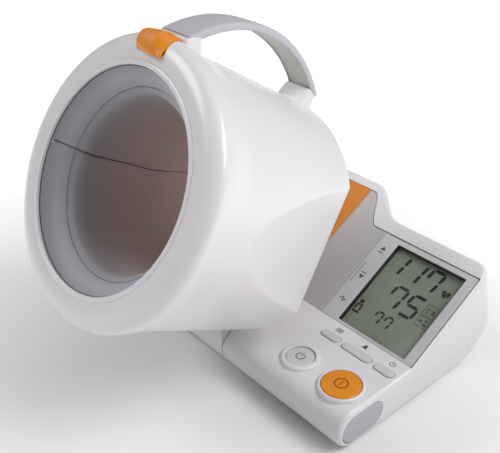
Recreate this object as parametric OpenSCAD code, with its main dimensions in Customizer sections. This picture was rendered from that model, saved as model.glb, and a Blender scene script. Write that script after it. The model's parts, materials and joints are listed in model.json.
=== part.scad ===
// Arm-in blood pressure monitor: a wedge-shaped base with a display and keys on
// its right, an elbow rest on its left, and a tubular cuff unit that tilts on a
// hinge in the base's half-round nose. Millimetres, +Z up, +X to the user's right.
// The origin lies on the table, under the centre of the whole object's box.

/* [Base case] */
// Width of the base from wall to wall
base_w = 232; // [222:1:240]
// Radius of the half-round nose around the hinge axis
nose_r = 15; // [14:0.5:17]
// Height of the rubber feet below the case
foot_h = 1.5; // [1:0.25:2.5]
// Distance from the hinge axis back to the fold where the head starts
deck_len = 59; // [56:1:64]
// Length of the flat underside, from the hinge axis back
bottom_len = 117; // [112:1:120]
// Slope of the head, in degrees
head_slope = 30; // [28:1:32]
// Length of the sloped head beside the display
head_len = 96; // [94:1:100]
// How much further up the slope the elbow side goes
elbow_rise = 24; // [18:1:28]
// Lean of the head's rear face from vertical, in degrees
rear_lean = 17; // [14:1:20]
// Thickness of the case walls
wall = 2.5; // [2:0.1:3]
// Rounding of the case along both side walls
side_round = 4; // [2:0.5:5]
// Height of the parting line between the lower and the upper case
split_z = 16.5; // [15:0.5:18]

/* [Head] */
// Width of the white rim left of the elbow rest
rim_w = 9; // [7:0.5:12]
// Depth of the recess that takes the display frame and the elbow panel
recess_d = 2.5; // [2:0.1:3]
// Thickness of the panel around the elbow pad
panel_t = 1.8; // [1.4:0.1:2]
// Width of the display frame
display_w = 87; // [84:1:88]
// Length of the display frame up the slope
display_len = 83; // [80:1:84]
// Thickness of the display frame
display_t = 2.2; // [1.8:0.1:2.4]
// Width of the display window
window_w = 63; // [56:1:64]
// Length of the display window up the slope
window_len = 75; // [68:1:76]
// Thickness of the elbow pad
pad_t = 3.2; // [2.5:0.1:4]
// Width of the elbow pad
pad_w = 86; // [76:1:88]
// Length of the elbow pad up the slope
pad_len = 100; // [90:1:104]

/* [Keys] */
// Radius of the round start button
start_r = 14; // [12:0.5:15]
// Radius of the round power button
power_r = 10.4; // [9:0.2:11]
// Width of the raised collar round the start button
collar_w = 2.6; // [2:0.2:3.4]
// Width of the raised collar round the power button
power_collar_w = 4; // [3:0.2:4.6]
// Height of the collars above the deck
collar_h = 2.4; // [1.6:0.2:3]
// Width of the three oval keys, front to back
key_w = 7.6; // [6.6:0.2:8.4]
// Length of the two short oval keys
key_len = 17; // [15:1:18]
// Length of the middle oval key
long_key_len = 27; // [24:1:28]
// Gap between neighbouring oval keys
key_gap = 3.2; // [2.6:0.2:4]
// Gap round every key in its hole
key_clear = 0.3; // [0.2:0.05:0.4]
// Travel of the keys
key_travel = 1.2; // [0.8:0.1:1.5]

/* [Cuff unit] */
// Tilt of the cuff axis below horizontal as it stands ready, in degrees
cuff_tilt = 30; // [28:1:32]
// Length of the cuff unit from its mouth to its rear face
cuff_len = 140; // [136:1:150]
// Outer radius of the mouth ring
ring_r = 93; // [91:0.5:94]
// Outer radius of the barrel behind the mouth ring
barrel_r = 90; // [88:0.5:91]
// Outer radius of the barrel at its rear
rear_r = 86; // [84:0.5:88]
// Thickness of the barrel shell
barrel_wall = 3; // [2.4:0.2:3.4]
// Radius of the mouth opening
mouth_r = 71; // [69:0.5:72]
// Radius of the opening inside the cuff
arm_r = 55; // [52:0.5:56]
// Distance of the hinge axis behind the rear face
hinge_back = 12.2; // [11:0.2:13]
// Distance of the hinge axis below the cuff axis
hinge_drop = 96; // [94:0.5:99]
// Left end of the hinge knuckle, measured left of the middle
knuckle_left = 78; // [70:1:84]
// Right end of the hinge knuckle, measured left of the middle
knuckle_right = 3; // [0:1:8]
// Radius of the steel hinge pin
pin_r = 4; // [3:0.25:5]
// Radial play of the knuckle on its pin
pin_play = 0.05; // [0.02:0.01:0.09]
// Gap between the knuckle and its pocket in the base
knuckle_gap = 0.8; // [0.6:0.1:1.2]

/* [Handle] */
// Width of the handle at its front end
handle_front_w = 28; // [24:1:30]
// Width of the handle at its rear end
handle_rear_w = 23; // [20:1:25]
// Thickness of the handle
handle_t = 5; // [4:0.5:7]
// Height of the handle's middle line at its crown, above the cuff axis
handle_top = 120; // [117:1:124]

/* [Power] */
// Radius of a battery
cell_r = 12.8; // [12:0.1:13.1]
// Length of a battery
cell_len = 50; // [48:0.5:50.5]
// Radius of the power inlet's bore
inlet_r = 2.9; // [2.5:0.1:3.2]
// Depth of the power inlet's bore
inlet_depth = 9.5; // [8:0.5:11]

/* [Hidden] */
$fn = 96;
eps = 0.01;
half_w = base_w / 2;

ring_edge = 5;
face_w = 0.6;
cap_proud = 0.3;
sweep_r = 30;
sweep_angle = 42;
long_len = head_len + elbow_rise;
nose_z = foot_h + nose_r;
deck_z = foot_h + 2 * nose_r;
// The mouth ring's left edge lines up with the base's left wall
cuff_x = half_w + cap_proud - ring_r;
hinge_w = cuff_len + hinge_back;

// Where two lines meet, each given by a point and a direction
function meet(p, d, q, e) =
    let (t = ((q[0] - p[0]) * e[1] - (q[1] - p[1]) * e[0]) / (d[0] * e[1] - d[1] * e[0]))
    [p[0] + t * d[0], p[1] + t * d[1]];

// Rearmost point of the base and foremost point of the mouth ring, both from the hinge axis
heel_reach = meet(
    [bottom_len + sweep_r * sin(sweep_angle), foot_h + sweep_r * (1 - cos(sweep_angle))],
    [cos(sweep_angle), sin(sweep_angle)],
    [deck_len + long_len * cos(head_slope), deck_z + long_len * sin(head_slope)],
    [-sin(rear_lean), cos(rear_lean)])[0];
mouth_reach = (hinge_w - face_w - ring_edge) * cos(cuff_tilt)
    + (ring_r - ring_edge - hinge_drop) * sin(cuff_tilt) + ring_edge;
// Places along the base, with the origin midway between those two points
nose_y = (mouth_reach - heel_reach) / 2;
fold_y = nose_y + deck_len;
flat_end = nose_y + bottom_len;

// Side outline of the case as [y, z], drawn in by "inset" and by "slope_inset" on the slope
sweep_dir = [cos(sweep_angle), sin(sweep_angle)];
rear_dir = [-sin(rear_lean), cos(rear_lean)];
slope_dir = [cos(head_slope), sin(head_slope)];
function case_outline(inset, slope_inset) =
    let (
        arc_r = sweep_r - inset,
        slope_p = [fold_y, deck_z - slope_inset / cos(head_slope)],
        deck_p = [fold_y, deck_z - inset],
        rear_p = [fold_y + long_len * cos(head_slope) - inset / cos(rear_lean),
                  deck_z + long_len * sin(head_slope)],
        arc = [for (a = [0:6:sweep_angle])
            [flat_end + arc_r * sin(a), foot_h + sweep_r - arc_r * cos(a)]]
    )
    concat(
        arc,
        [meet(arc[len(arc) - 1], sweep_dir, rear_p, rear_dir),
         meet(rear_p, rear_dir, slope_p, slope_dir),
         meet(slope_p, slope_dir, deck_p, [1, 0])],
        [for (a = [90:6:270])
            [nose_y + (nose_r - inset) * cos(a), nose_z + (nose_r - inset) * sin(a)]]
    );

// Places across the head: the elbow pad sets where the head's S-shaped edge begins
panel_x0 = -half_w + rim_w;
pad_x0 = panel_x0 + 8.5;
pad_x1 = pad_x0 + pad_w;
inner_left = pad_x1 + 4.5;
inner_right = inner_left + 23;
s_left = inner_left - 3;
s_right = s_left + 40;
s_steps = 12;
corner_r = 12;
// The S-shaped run from the display side to the elbow side, from 0 to 1
function s_blend(t) = (1 - cos(180 * t)) / 2;

// Outline of the head seen along its rear face, drawn in by "inset"
function rear_outline(inset = 0) =
    let (
        w = half_w - inset,
        share = cos(head_slope - rear_lean),
        low = head_len * share - inset,
        high = long_len * share - inset,
        r = corner_r - inset
    )
    concat(
        [[w, -deck_len - 3 * nose_r]],
        [for (a = [0:10:90]) [w - r + r * cos(a), low - r + r * sin(a)]],
        [for (k = [0:s_steps]) [s_right + (s_left - s_right) * k / s_steps,
            low + (high - low) * s_blend(k / s_steps)]],
        [for (a = [90:10:180]) [-w + r + r * cos(a), high - r + r * sin(a)]],
        [[-w, -deck_len - 3 * nose_r]]
    );

// Turns a [y, z] outline into a solid between two x positions
module across(x0, x1) {
    translate([x0, 0, 0]) rotate([90, 0, 90]) linear_extrude(x1 - x0) children();
}

// Frames: the slope of the head, the rear face's direction and the cuff unit
module on_slope() translate([0, fold_y, deck_z]) rotate([head_slope, 0, 0]) children();
module along_rear() translate([0, fold_y, deck_z]) rotate([rear_lean, 0, 0]) children();
module on_cuff() {
    translate([-cuff_x, nose_y, nose_z])
        rotate([-cuff_tilt, 0, 0])
            translate([0, -hinge_w, hinge_drop]) children();
}
// Stands a solid of revolution, drawn as [radius, distance from the mouth], on the cuff axis
module revolve() rotate([-90, 0, 0]) rotate_extrude() children();
module on_hinge() translate([0, nose_y, nose_z]) rotate([0, 90, 0]) children();
module hinge_rod(x0, x1, r) on_hinge() translate([0, 0, x0]) cylinder(h = x1 - x0, r = r);

// ---------- base case ----------
// The case outline drawn between the side walls, with rounded edges along both walls
// Each section is [x, inset]; the outermost ones lie past the walls, which cut them off
round_steps = 3;
right_sections = concat(
    [for (k = [0:round_steps - 1]) let (a = 90 * k / round_steps)
        [half_w - side_round * (1 - sin(a)), side_round * (1 - cos(a))]],
    [[half_w + 1, 1.3 * side_round]]);
sections = concat(
    [for (k = [round_steps:-1:0]) [-right_sections[k][0], right_sections[k][1]]],
    right_sections);
module case_block() {
    outlines = [for (c = sections) [for (p = case_outline(c[1], c[1])) [c[0], p[0], p[1]]]];
    n = len(outlines[0]);
    last = len(outlines) - 1;
    polyhedron(
        points = [for (o = outlines, p = o) p],
        faces = concat(
            [[for (i = [0:n - 1]) i]],
            [for (k = [0:last - 1], i = [0:n - 1]) let (j = (i + 1) % n)
                [k * n + i, (k + 1) * n + i, k * n + j]],
            [for (k = [0:last - 1], i = [0:n - 1]) let (j = (i + 1) % n)
                [(k + 1) * n + i, (k + 1) * n + j, k * n + j]],
            [[for (i = [n - 1:-1:0]) last * n + i]]));
}
module rear_prism(inset = 0) {
    reach = 2 * bottom_len;
    along_rear() translate([0, 0, -reach / 2]) linear_extrude(reach)
        polygon(rear_outline(inset));
}
module case_body() {
    intersection() {
        case_block();
        rear_prism();
    }
}
skin_t = wall + recess_d;
module case_cavity() {
    difference() {
        intersection() {
            across(-half_w + wall, half_w - wall) polygon(case_outline(wall, skin_t));
            rear_prism(wall);
        }
        hinge_blocks();
        pocket_wall();
    }
}
// Solid blocks in the nose that hold the pin's bushes beside the pocket
block_w = 14;
pocket_r = nose_r + knuckle_gap;
pocket_x0 = -knuckle_left - knuckle_gap;
pocket_x1 = -knuckle_right + knuckle_gap;
module hinge_blocks() {
    hinge_rod(pocket_x0 - block_w, pocket_x0, pocket_r + wall);
    hinge_rod(pocket_x1, pocket_x1 + block_w, pocket_r + wall);
}
module pocket_wall() hinge_rod(pocket_x0 - eps, pocket_x1 + eps, pocket_r + wall);
module pocket() {
    hinge_rod(pocket_x0, pocket_x1, pocket_r);
    translate([pocket_x0, nose_y - 2 * nose_r, 0])
        cube([pocket_x1 - pocket_x0, 2 * nose_r, deck_z + 1]);
}
bush_r = pin_r + 2.5;
bush_len = 12;
pin_x0 = pocket_x0 - bush_len;
pin_x1 = pocket_x1 + bush_len;
module case_shell() {
    difference() {
        case_body();
        case_cavity();
        pocket();
        hinge_rod(pin_x0, pin_x1, bush_r);
        for (side = [-1, 1]) end_cap_seat(side);
        inlet_hole();
    }
}

// Gray oval caps that close the nose at both side walls
cap_r = 11.2;
cap_reach = 17;
cap_depth = 1.4;
module oval_cap(x, t, r) {
    across(x, x + t)
        {
            translate([nose_y, nose_z]) circle(r, $fn = 48);
            translate([nose_y + cap_reach, nose_z]) circle(r, $fn = 48);
            translate([nose_y, nose_z - r]) square([cap_reach, 2 * r]);
        }
}
module end_cap_seat(side) {
    x = side > 0 ? half_w - cap_depth : -half_w - 1;
    oval_cap(x, cap_depth + 1, cap_r + 0.15);
}
module end_caps() color([0.6, 0.6, 0.64])
    for (side = [-1, 1]) {
        x = side > 0 ? half_w - cap_depth : -half_w - cap_proud;
        oval_cap(x, cap_depth + cap_proud, cap_r);
    }

// Screw columns at the four corners of the case
screw_x = half_w - 11;
screw_front_y = nose_y + 34;
screw_rear_y = flat_end - 28;
screw_r = 1.5;
screw_head_r = 3;
screw_head_h = 2.4;
boss_r = 4;
screw_len = 14;
screw_z = foot_h + 4;
screw_head_top = screw_z + 1;
module at_screws() {
    for (x = [-screw_x, screw_x], y = [screw_front_y, screw_rear_y])
        translate([x, y, 0]) children();
}
module screw_holes() {
    at_screws() {
        translate([0, 0, screw_z - eps]) cylinder(h = screw_len + eps, r = screw_r);
        translate([0, 0, -1]) cylinder(h = screw_head_top + 1, r = screw_head_r + 0.3);
    }
}
module case_screws() color([0.7, 0.7, 0.72])
    at_screws() {
        translate([0, 0, screw_head_top - screw_head_h])
            cylinder(h = screw_head_h, r = screw_head_r);
        translate([0, 0, screw_head_top - eps])
            cylinder(h = screw_z + screw_len - screw_head_top, r = screw_r);
    }

// ---------- battery compartment ----------
cell_gap = 0.6;
cell_end = 2;
cell_nub_h = 1.6;
cell_nub_r = 3.6;
bay_x0 = -half_w + 48;
bay_len = 2 * cell_len + 3 * cell_end;
bay_x1 = bay_x0 + bay_len;
bay_y0 = fold_y + 5.5;
bay_w = 4 * cell_r + 3 * cell_gap;
bay_y1 = bay_y0 + bay_w;
cover_t = 2;
cover_gap = 0.4;
bay_z0 = foot_h + cover_t + cover_gap;
bay_top = bay_z0 + 2 * cell_r + cell_gap;
bay_wall = 1.5;
module battery_box() {
    difference() {
        translate([bay_x0 - bay_wall, bay_y0 - bay_wall, foot_h])
            cube([bay_len + 2 * bay_wall, bay_w + 2 * bay_wall, bay_top + bay_wall - foot_h]);
        translate([bay_x0, bay_y0, foot_h - 1])
            cube([bay_len, bay_w, bay_top - foot_h + 1]);
        // the box stays under the sloping wall above it
        on_slope() translate([-base_w, -long_len, -skin_t - 0.3])
            cube([2 * base_w, 2 * long_len, long_len]);
    }
}
module batteries() color([0.25, 0.3, 0.45])
    for (i = [0, 1], k = [0, 1])
        translate([bay_x0 + cell_end + i * (cell_len + cell_end), bay_y0 + cell_gap + cell_r
                + k * (2 * cell_r + cell_gap), bay_z0 + cell_r]) rotate([0, 90, 0]) {
            cylinder(h = cell_len - cell_nub_h, r = cell_r);
            cylinder(h = cell_len, r = cell_nub_r);
        }
contact_t = 0.5;
contact_inset = 4;
module battery_contacts() color([0.8, 0.78, 0.7])
    for (x = [bay_x0, bay_x1 - contact_t], k = [0, 1])
        translate([x, bay_y0 + cell_gap + contact_inset + k * (2 * cell_r + cell_gap),
                bay_z0 + contact_inset])
            cube([contact_t, 2 * (cell_r - contact_inset), 2 * (cell_r - contact_inset)]);
// Sliding cover in the underside
module cover_plate(gap, t) {
    translate([bay_x0 - gap, bay_y0 - gap, foot_h - eps])
        cube([bay_len + 2 * gap, bay_w + 2 * gap, t]);
}
module battery_cover() color([0.86, 0.86, 0.86])
    difference() {
        translate([0, 0, eps]) cover_plate(-cover_gap, cover_t);
        for (k = [0:4])
            translate([bay_x0 + 12 + k * 3, bay_y0 + bay_w / 2 - 9, foot_h - 1])
                cube([1.4, 18, 1.6]);
    }

// ---------- lower and upper case ----------
rib_t = 2;
pump_r = 12.5;
pump_len = 52;
pump_x0 = -half_w + 24;
pump_y = bay_y1 + bay_wall + pump_r + 3.5;
pump_z = bay_top + 9;
// Room for what stands on the lower case's floor: above the parting line it keeps off the walls
stand_gap = 0.3;
module stand_room() {
    difference() {
        case_body();
        translate([-base_w, -2 * bottom_len, split_z]) cube([2 * base_w, 4 * bottom_len, base_w]);
    }
    difference() {
        intersection() {
            across(-half_w + wall + stand_gap, half_w - wall - stand_gap)
                polygon(case_outline(wall + stand_gap, skin_t + stand_gap));
            rear_prism(wall + stand_gap);
        }
        translate([-base_w, -2 * bottom_len, -base_w + split_z - 1])
            cube([2 * base_w, 4 * bottom_len, base_w]);
    }
}
module pump_cradle() {
    intersection() {
        union() {
            for (x = [pump_x0 + 8, pump_x0 + pump_len - 12])
                translate([x, pump_y - 0.7 * pump_r, 0]) cube([rib_t, 1.1 * pump_r, pump_z]);
            translate([valve_x, valve_y, 0]) cylinder(h = valve_z0, r = valve_r - 2);
        }
        stand_room();
    }
}
module lower_case() color([0.87, 0.87, 0.87])
    difference() {
        union() {
            intersection() {
                case_shell();
                translate([-base_w, -2 * bottom_len, -1])
                    cube([2 * base_w, 4 * bottom_len, split_z + 1]);
            }
            battery_box();
            difference() {
                pump_cradle();
                pump_body(0.05);
            }
            at_screws() translate([0, 0, foot_h + wall - eps])
                cylinder(h = split_z - foot_h - wall + eps, r = boss_r);
            board_posts();
        }
        cover_plate(0, 2 * wall);
        translate([bay_x0, bay_y0, foot_h - 1]) cube([bay_len, bay_w, bay_top - foot_h + 1]);
        screw_holes();
        foot_seats();
    }
foot_r = 6;
foot_sink = 1;
module at_feet() {
    for (x = [-half_w + 14, half_w - 14], y = [nose_y + 10, flat_end - 8])
        translate([x, y, 0]) children();
}
module foot_seats() at_feet() translate([0, 0, foot_h - 1]) cylinder(h = foot_sink + 1, r = foot_r);
module rubber_feet() color([0.2, 0.2, 0.2])
    at_feet() {
        translate([0, 0, 0.6]) cylinder(h = foot_h + foot_sink - 0.6, r = foot_r);
        cylinder(h = 0.6 + eps, r1 = foot_r - 0.6, r2 = foot_r);
    }

// Key places, measured from the right wall and from the hinge axis
start_x = half_w - 22.5;
start_y = nose_y + 10;
power_x = start_x - 39;
power_y = start_y;
keys_x0 = half_w - 72.5;
keys_y = fold_y - 15.5;
left_key_x = keys_x0 + key_len / 2;
middle_key_x = keys_x0 + key_len + key_gap + long_key_len / 2;
right_key_x = keys_x0 + key_len + 2 * key_gap + long_key_len + key_len / 2;
module oval(len, w, h) {
    for (side = [-1, 1])
        translate([side * (len - w) / 2, 0, 0]) cylinder(h = h, r = w / 2, $fn = 48);
    translate([-(len - w) / 2, -w / 2, 0]) cube([len - w, w, h]);
}
// The five holes in the deck
module key_holes() {
    translate([left_key_x, keys_y, 0])
        oval(key_len + 2 * key_clear, key_w + 2 * key_clear, deck_z + 1);
    translate([middle_key_x, keys_y, 0])
        oval(long_key_len + 2 * key_clear, key_w + 2 * key_clear, deck_z + 1);
    translate([right_key_x, keys_y, 0])
        oval(key_len + 2 * key_clear, key_w + 2 * key_clear, deck_z + 1);
    translate([start_x, start_y, 0]) cylinder(h = 2 * deck_z, r = start_r + key_clear);
    translate([power_x, power_y, 0]) cylinder(h = 2 * deck_z, r = power_r + key_clear);
}
// Raised collar with a soft shoulder
collar_edge = 1.4;
module collar(r, w) {
    rotate_extrude() polygon(concat(
        [[r, -wall], [r + w, -wall]],
        [for (a = [0:15:90])
            [r + w - collar_edge * (1 - cos(a)), collar_h - collar_edge * (1 - sin(a))]],
        [[r, collar_h]]));
}

// Display, panel and pad places on the slope
edge_gap = 0.3;
display_x1 = half_w - 2.4;
display_x0 = display_x1 - display_w;
display_s0 = 0.4;
display_s1 = display_s0 + display_len;
panel_top = long_len - rim_w;
panel_corner = 8;
// Outline of the recess in the slope as [x, s], drawn in by "inset"
function recess_outline(inset = 0) = concat(
    [[display_x1 - inset, display_s0 + inset], [display_x1 - inset, display_s1 - inset]],
    [for (k = [0:s_steps]) [inner_right + (inner_left - inner_right) * k / s_steps - inset,
        display_s1 + (panel_top - display_s1) * s_blend(k / s_steps) - inset]],
    [for (a = [90:15:180]) [panel_x0 + inset + panel_corner * (1 + cos(a)),
        panel_top - inset - panel_corner * (1 - sin(a))]],
    [[panel_x0 + inset, display_s0 + inset]]);
window_x1 = display_x1 - 8.5;
window_x0 = window_x1 - window_w;
window_s0 = display_s0 + 2.6;
module window_block(gap, n0, n1) {
    translate([window_x0 - gap, window_s0 - gap, n0])
        cube([window_w + 2 * gap, window_len + 2 * gap, n1 - n0]);
}
module upper_case() color([0.92, 0.92, 0.92])
    difference() {
        union() {
            intersection() {
                case_shell();
                translate([-base_w, -2 * bottom_len, split_z])
                    cube([2 * base_w, 4 * bottom_len, 2 * bottom_len]);
            }
            translate([start_x, start_y, deck_z]) collar(start_r + key_clear, collar_w);
            translate([power_x, power_y, deck_z]) collar(power_r + key_clear, power_collar_w);
            difference() {
                intersection() {
                    at_screws() translate([0, 0, split_z]) cylinder(h = 2 * deck_z, r = boss_r);
                    case_body();
                }
                on_slope() translate([-base_w, -10, -skin_t / 2])
                    cube([2 * base_w, 2 * long_len, 2 * long_len]);
            }
        }
        key_holes();
        on_slope() translate([0, 0, -recess_d]) linear_extrude(4 * recess_d)
            polygon(recess_outline());
        on_slope() window_block(2, -4 * wall - recess_d, 0);
        screw_holes();
        translate([-base_w, -2 * bottom_len, -1])
            cube([2 * base_w, 4 * bottom_len, split_z + 1]);
    }
module elbow_panel() color([0.62, 0.61, 0.59])
    on_slope() translate([0, 0, -recess_d])
        intersection() {
            linear_extrude(panel_t) polygon(recess_outline(edge_gap));
            translate([-base_w, -1, -1]) cube([base_w + display_x0 - edge_gap, 2 * long_len, 9]);
        }
module display_frame() color([0.72, 0.72, 0.75])
    on_slope() difference() {
        translate([display_x0, display_s0 + edge_gap, -recess_d])
            cube([display_w - edge_gap, display_len - 2 * edge_gap, display_t]);
        window_block(0.15, -recess_d + window_ledge_t, display_t);
        window_block(-1.2, -recess_d - 1, display_t);
    }
window_ledge_t = 0.7;
window_t = 1;
module_t = 4;
module display_window() color([0.5, 0.58, 0.48, 0.6])
    on_slope() window_block(0, -recess_d + window_ledge_t, -recess_d + window_ledge_t + window_t);
module display_module() color([0.45, 0.5, 0.45])
    on_slope() window_block(1.5, -recess_d - module_t, -recess_d);

// Elbow pad: a dished cushion with rounded edges, on the panel
pad_s1 = panel_top - 0.8;
pad_s0 = pad_s1 - pad_len;
pad_dish = 1.4;
pad_round = 1.6;
// Cross-section of the pad as [x, height]: rounded shoulders and a dished top for the elbow
function pad_section() = concat(
    [[pad_x1, 0]],
    [for (a = [0:30:90]) [pad_x1 - pad_round * (1 - cos(a)), pad_t - pad_round * (1 - sin(a))]],
    [for (k = [1:9]) [pad_x1 - pad_round - (pad_w - 2 * pad_round) * k / 10,
        pad_t - pad_dish * (1 - pow(2 * k / 10 - 1, 2))]],
    [for (a = [90:30:180]) [pad_x0 + pad_round * (1 + cos(a)), pad_t - pad_round * (1 - sin(a))]],
    [[pad_x0, 0]]);
module elbow_pad() color([0.87, 0.48, 0.16])
    on_slope() translate([0, pad_s1, -recess_d + panel_t]) rotate([90, 0, 0])
        linear_extrude(pad_len) polygon(pad_section());

// ---------- keys ----------
flange_t = 1.6;
flange_gap = 0.2;
deck_under = deck_z - wall;
stem_len = 4;
stem_r = 4;
stem_end = deck_under - stem_len;
flange_w = 1.2;
crown = 1.2;
dome_h = 0.4;
module round_button(r, top) {
    flange_top = deck_under - flange_gap;
    rotate_extrude() polygon(concat(
        [[0, stem_end], [stem_r, stem_end], [stem_r, flange_top - flange_t],
         [r + flange_w, flange_top - flange_t], [r + flange_w, flange_top], [r, flange_top]],
        [for (a = [0:15:90]) [r - crown * (1 - cos(a)), top - crown * (1 - sin(a))]],
        [[0, top + dome_h]]));
}
start_proud = 0.2;
power_sunk = 0.9;
// The start button's flange is cut back where the nose curves down over it
module start_button() color([0.9, 0.53, 0.12])
    difference() {
        translate([start_x, start_y, 0]) round_button(start_r, deck_z + collar_h + start_proud);
        translate([start_x - 2 * start_r, nose_y - 2 * start_r - 2, 0])
            cube([4 * start_r, 2 * start_r, deck_under - flange_gap]);
    }
module power_button() color([0.75, 0.75, 0.76])
    translate([power_x, power_y, 0]) round_button(power_r, deck_z + collar_h - power_sunk);
key_proud = 1;
key_step = 0.5;
key_stem_r = 2.4;
module oval_key(len) {
    translate([0, 0, deck_under - flange_gap - flange_t]) {
        oval(len, key_w, wall + key_proud + flange_gap + flange_t - key_step);
        oval(len + 2, key_w + 2, flange_t);
    }
    translate([0, 0, deck_z + key_proud - key_step - eps])
        oval(len - 2 * key_step, key_w - 2 * key_step, key_step + eps);
    translate([0, 0, stem_end]) cylinder(h = stem_len - 1, r = key_stem_r);
}
module left_key() color([0.77, 0.77, 0.77]) translate([left_key_x, keys_y, 0]) oval_key(key_len);
module middle_key() color([0.77, 0.77, 0.77])
    translate([middle_key_x, keys_y, 0]) oval_key(long_key_len);
module right_key() color([0.77, 0.77, 0.77]) translate([right_key_x, keys_y, 0]) oval_key(key_len);

// ---------- electronics ----------
mat_t = 1.4;
board_t = 1.6;
board_edge = 8;
board_x0 = power_x - power_r - board_edge;
board_x1 = half_w - board_edge;
board_y0 = nose_y - board_edge;
board_y1 = fold_y - 7;
mat_inset = 2;
mat_gap = 0.3;
peg_r = 1.25;
peg_inset = 5;
mat_top = stem_end - key_travel - mat_gap;
board_top = mat_top - mat_t;
module key_mat() color([0.3, 0.3, 0.32])
    difference() {
        translate([board_x0 + mat_inset, board_y0 + mat_inset, board_top])
            cube([board_x1 - board_x0 - 2 * mat_inset, board_y1 - board_y0 - 2 * mat_inset, mat_t]);
        at_board_pegs() cylinder(h = deck_z, r = peg_r + 0.35);
        at_screws() cylinder(h = deck_z, r = boss_r + 0.6);
    }
module main_board() color([0.12, 0.4, 0.22])
    difference() {
        translate([board_x0, board_y0, board_top - board_t])
            cube([board_x1 - board_x0, board_y1 - board_y0, board_t]);
        at_board_pegs() cylinder(h = deck_z, r = peg_r + 0.05);
        at_screws() cylinder(h = deck_z, r = boss_r + 0.6);
    }
// Four pegs carry the board and pass through it
module at_board_pegs() {
    for (x = [board_x0 + peg_inset, board_x1 - 2 * peg_inset],
            y = [nose_y + peg_inset, board_y1 - peg_inset])
        translate([x, y, 0]) children();
}
module board_posts() {
    at_board_pegs() translate([0, 0, foot_h + wall - eps]) {
        cylinder(h = board_top - board_t - foot_h - wall + eps, r = 3);
        cylinder(h = board_top - foot_h - wall - 0.2, r = peg_r);
    }
}
sensor_x = board_x0 + 16;
sensor_y = board_y1 - 12;
sensor_h = 6;
module pressure_sensor() color([0.15, 0.15, 0.16]) {
    translate([sensor_x - 5, sensor_y - 4, board_top - board_t - sensor_h])
        cube([10, 8, sensor_h]);
    translate([sensor_x - 5 - 4, sensor_y, board_top - board_t - sensor_h / 2])
        rotate([0, 90, 0]) cylinder(h = 4 + eps, r = 1.6);
}

// ---------- pneumatics ----------
module pump_body(grow = 0) {
    translate([pump_x0, pump_y, pump_z]) rotate([0, 90, 0])
        cylinder(h = pump_len, r = pump_r + grow);
}
module air_pump() color([0.72, 0.72, 0.75]) {
    pump_body();
    translate([pump_x0 + pump_len - eps, pump_y, pump_z]) rotate([0, 90, 0])
        cylinder(h = 9, r = pump_r - 3);
    translate([pump_x0 + pump_len + 4, pump_y, pump_z + pump_r - 4])
        cylinder(h = 8, r = nozzle_r);
}
nozzle_r = 1.8;
valve_r = 7;
valve_x = pump_x0 + pump_len + 18;
valve_y = pump_y - 6;
valve_z0 = pump_z - pump_r - 4;
valve_h = 24;
valve_top = valve_z0 + valve_h;
module exhaust_valve() color([0.75, 0.72, 0.6])
    translate([valve_x, valve_y, valve_z0]) {
        cylinder(h = valve_h, r = valve_r);
        cylinder(h = valve_h + 6, r = nozzle_r);
    }

// A hose swept along points, as a chain of short rods with ball joints
module hose(points, r) {
    for (i = [0:len(points) - 2]) {
        d = points[i + 1] - points[i];
        l = norm(d);
        translate(points[i])
            rotate([0, acos(d[2] / l), atan2(d[1], d[0])]) cylinder(h = l, r = r, $fn = 24);
        if (i > 0) translate(points[i]) sphere(1.03 * r, $fn = 24);
    }
}
hose_r = 2.6;
module base_hose() color([0.25, 0.25, 0.26])
    hose([[pump_x0 + pump_len + 4, pump_y, pump_z + pump_r + 4],
          [pump_x0 + pump_len + 4, pump_y, pump_z + pump_r + 9],
          [valve_x, valve_y, valve_top + 14],
          [valve_x, valve_y, valve_top + 6]], hose_r);

// Power inlet in the left wall
inlet_y = fold_y + 8;
inlet_z = foot_h + 9;
inlet_boss_r = 5;
module inlet_hole() translate([-half_w - 1, inlet_y, inlet_z]) rotate([0, 90, 0])
    cylinder(h = wall + 2, r = inlet_boss_r + 0.1);
module power_inlet() color([0.12, 0.12, 0.12])
    difference() {
        union() {
            translate([-half_w, inlet_y, inlet_z]) rotate([0, 90, 0])
                cylinder(h = inlet_depth, r = inlet_boss_r);
            translate([-half_w + wall, inlet_y - 6, inlet_z - 6.5])
                cube([inlet_depth + 1, 12, 13]);
        }
        translate([-half_w - 1, inlet_y, inlet_z]) rotate([0, 90, 0])
            cylinder(h = inlet_depth + 1, r = inlet_r);
    }

// ---------- hinge ----------
module hinge_pin() color([0.75, 0.75, 0.78])
    hinge_rod(pin_x0, pin_x1, pin_r);
module hinge_bushes() color([0.7, 0.55, 0.3])
    difference() {
        union() {
            hinge_rod(pin_x0, pocket_x0, bush_r);
            hinge_rod(pocket_x1, pin_x1, bush_r);
        }
        hinge_rod(pin_x0 - 1, pin_x1 + 1, pin_r);
    }

// ---------- cuff unit ----------
ring_len = 30;
rear_edge = 6;
// Outer outline of the barrel as [radius, distance from the mouth], for a shell drawn in by "inset"
function barrel_outline(inset = 0) = concat(
    [for (a = [0:15:90]) [ring_r - ring_edge + (ring_edge - inset) * sin(a),
        face_w + ring_edge - (ring_edge - inset) * cos(a)]],
    [for (k = [1:6]) [barrel_r - inset + (ring_r - barrel_r) * (1 - s_blend(k / 6)),
        face_w + ring_edge + ring_len * k / 6]],
    [for (a = [0:15:90]) [rear_r - rear_edge + (rear_edge - inset) * cos(a),
        cuff_len - rear_edge + (rear_edge - inset) * sin(a)]]);
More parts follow.
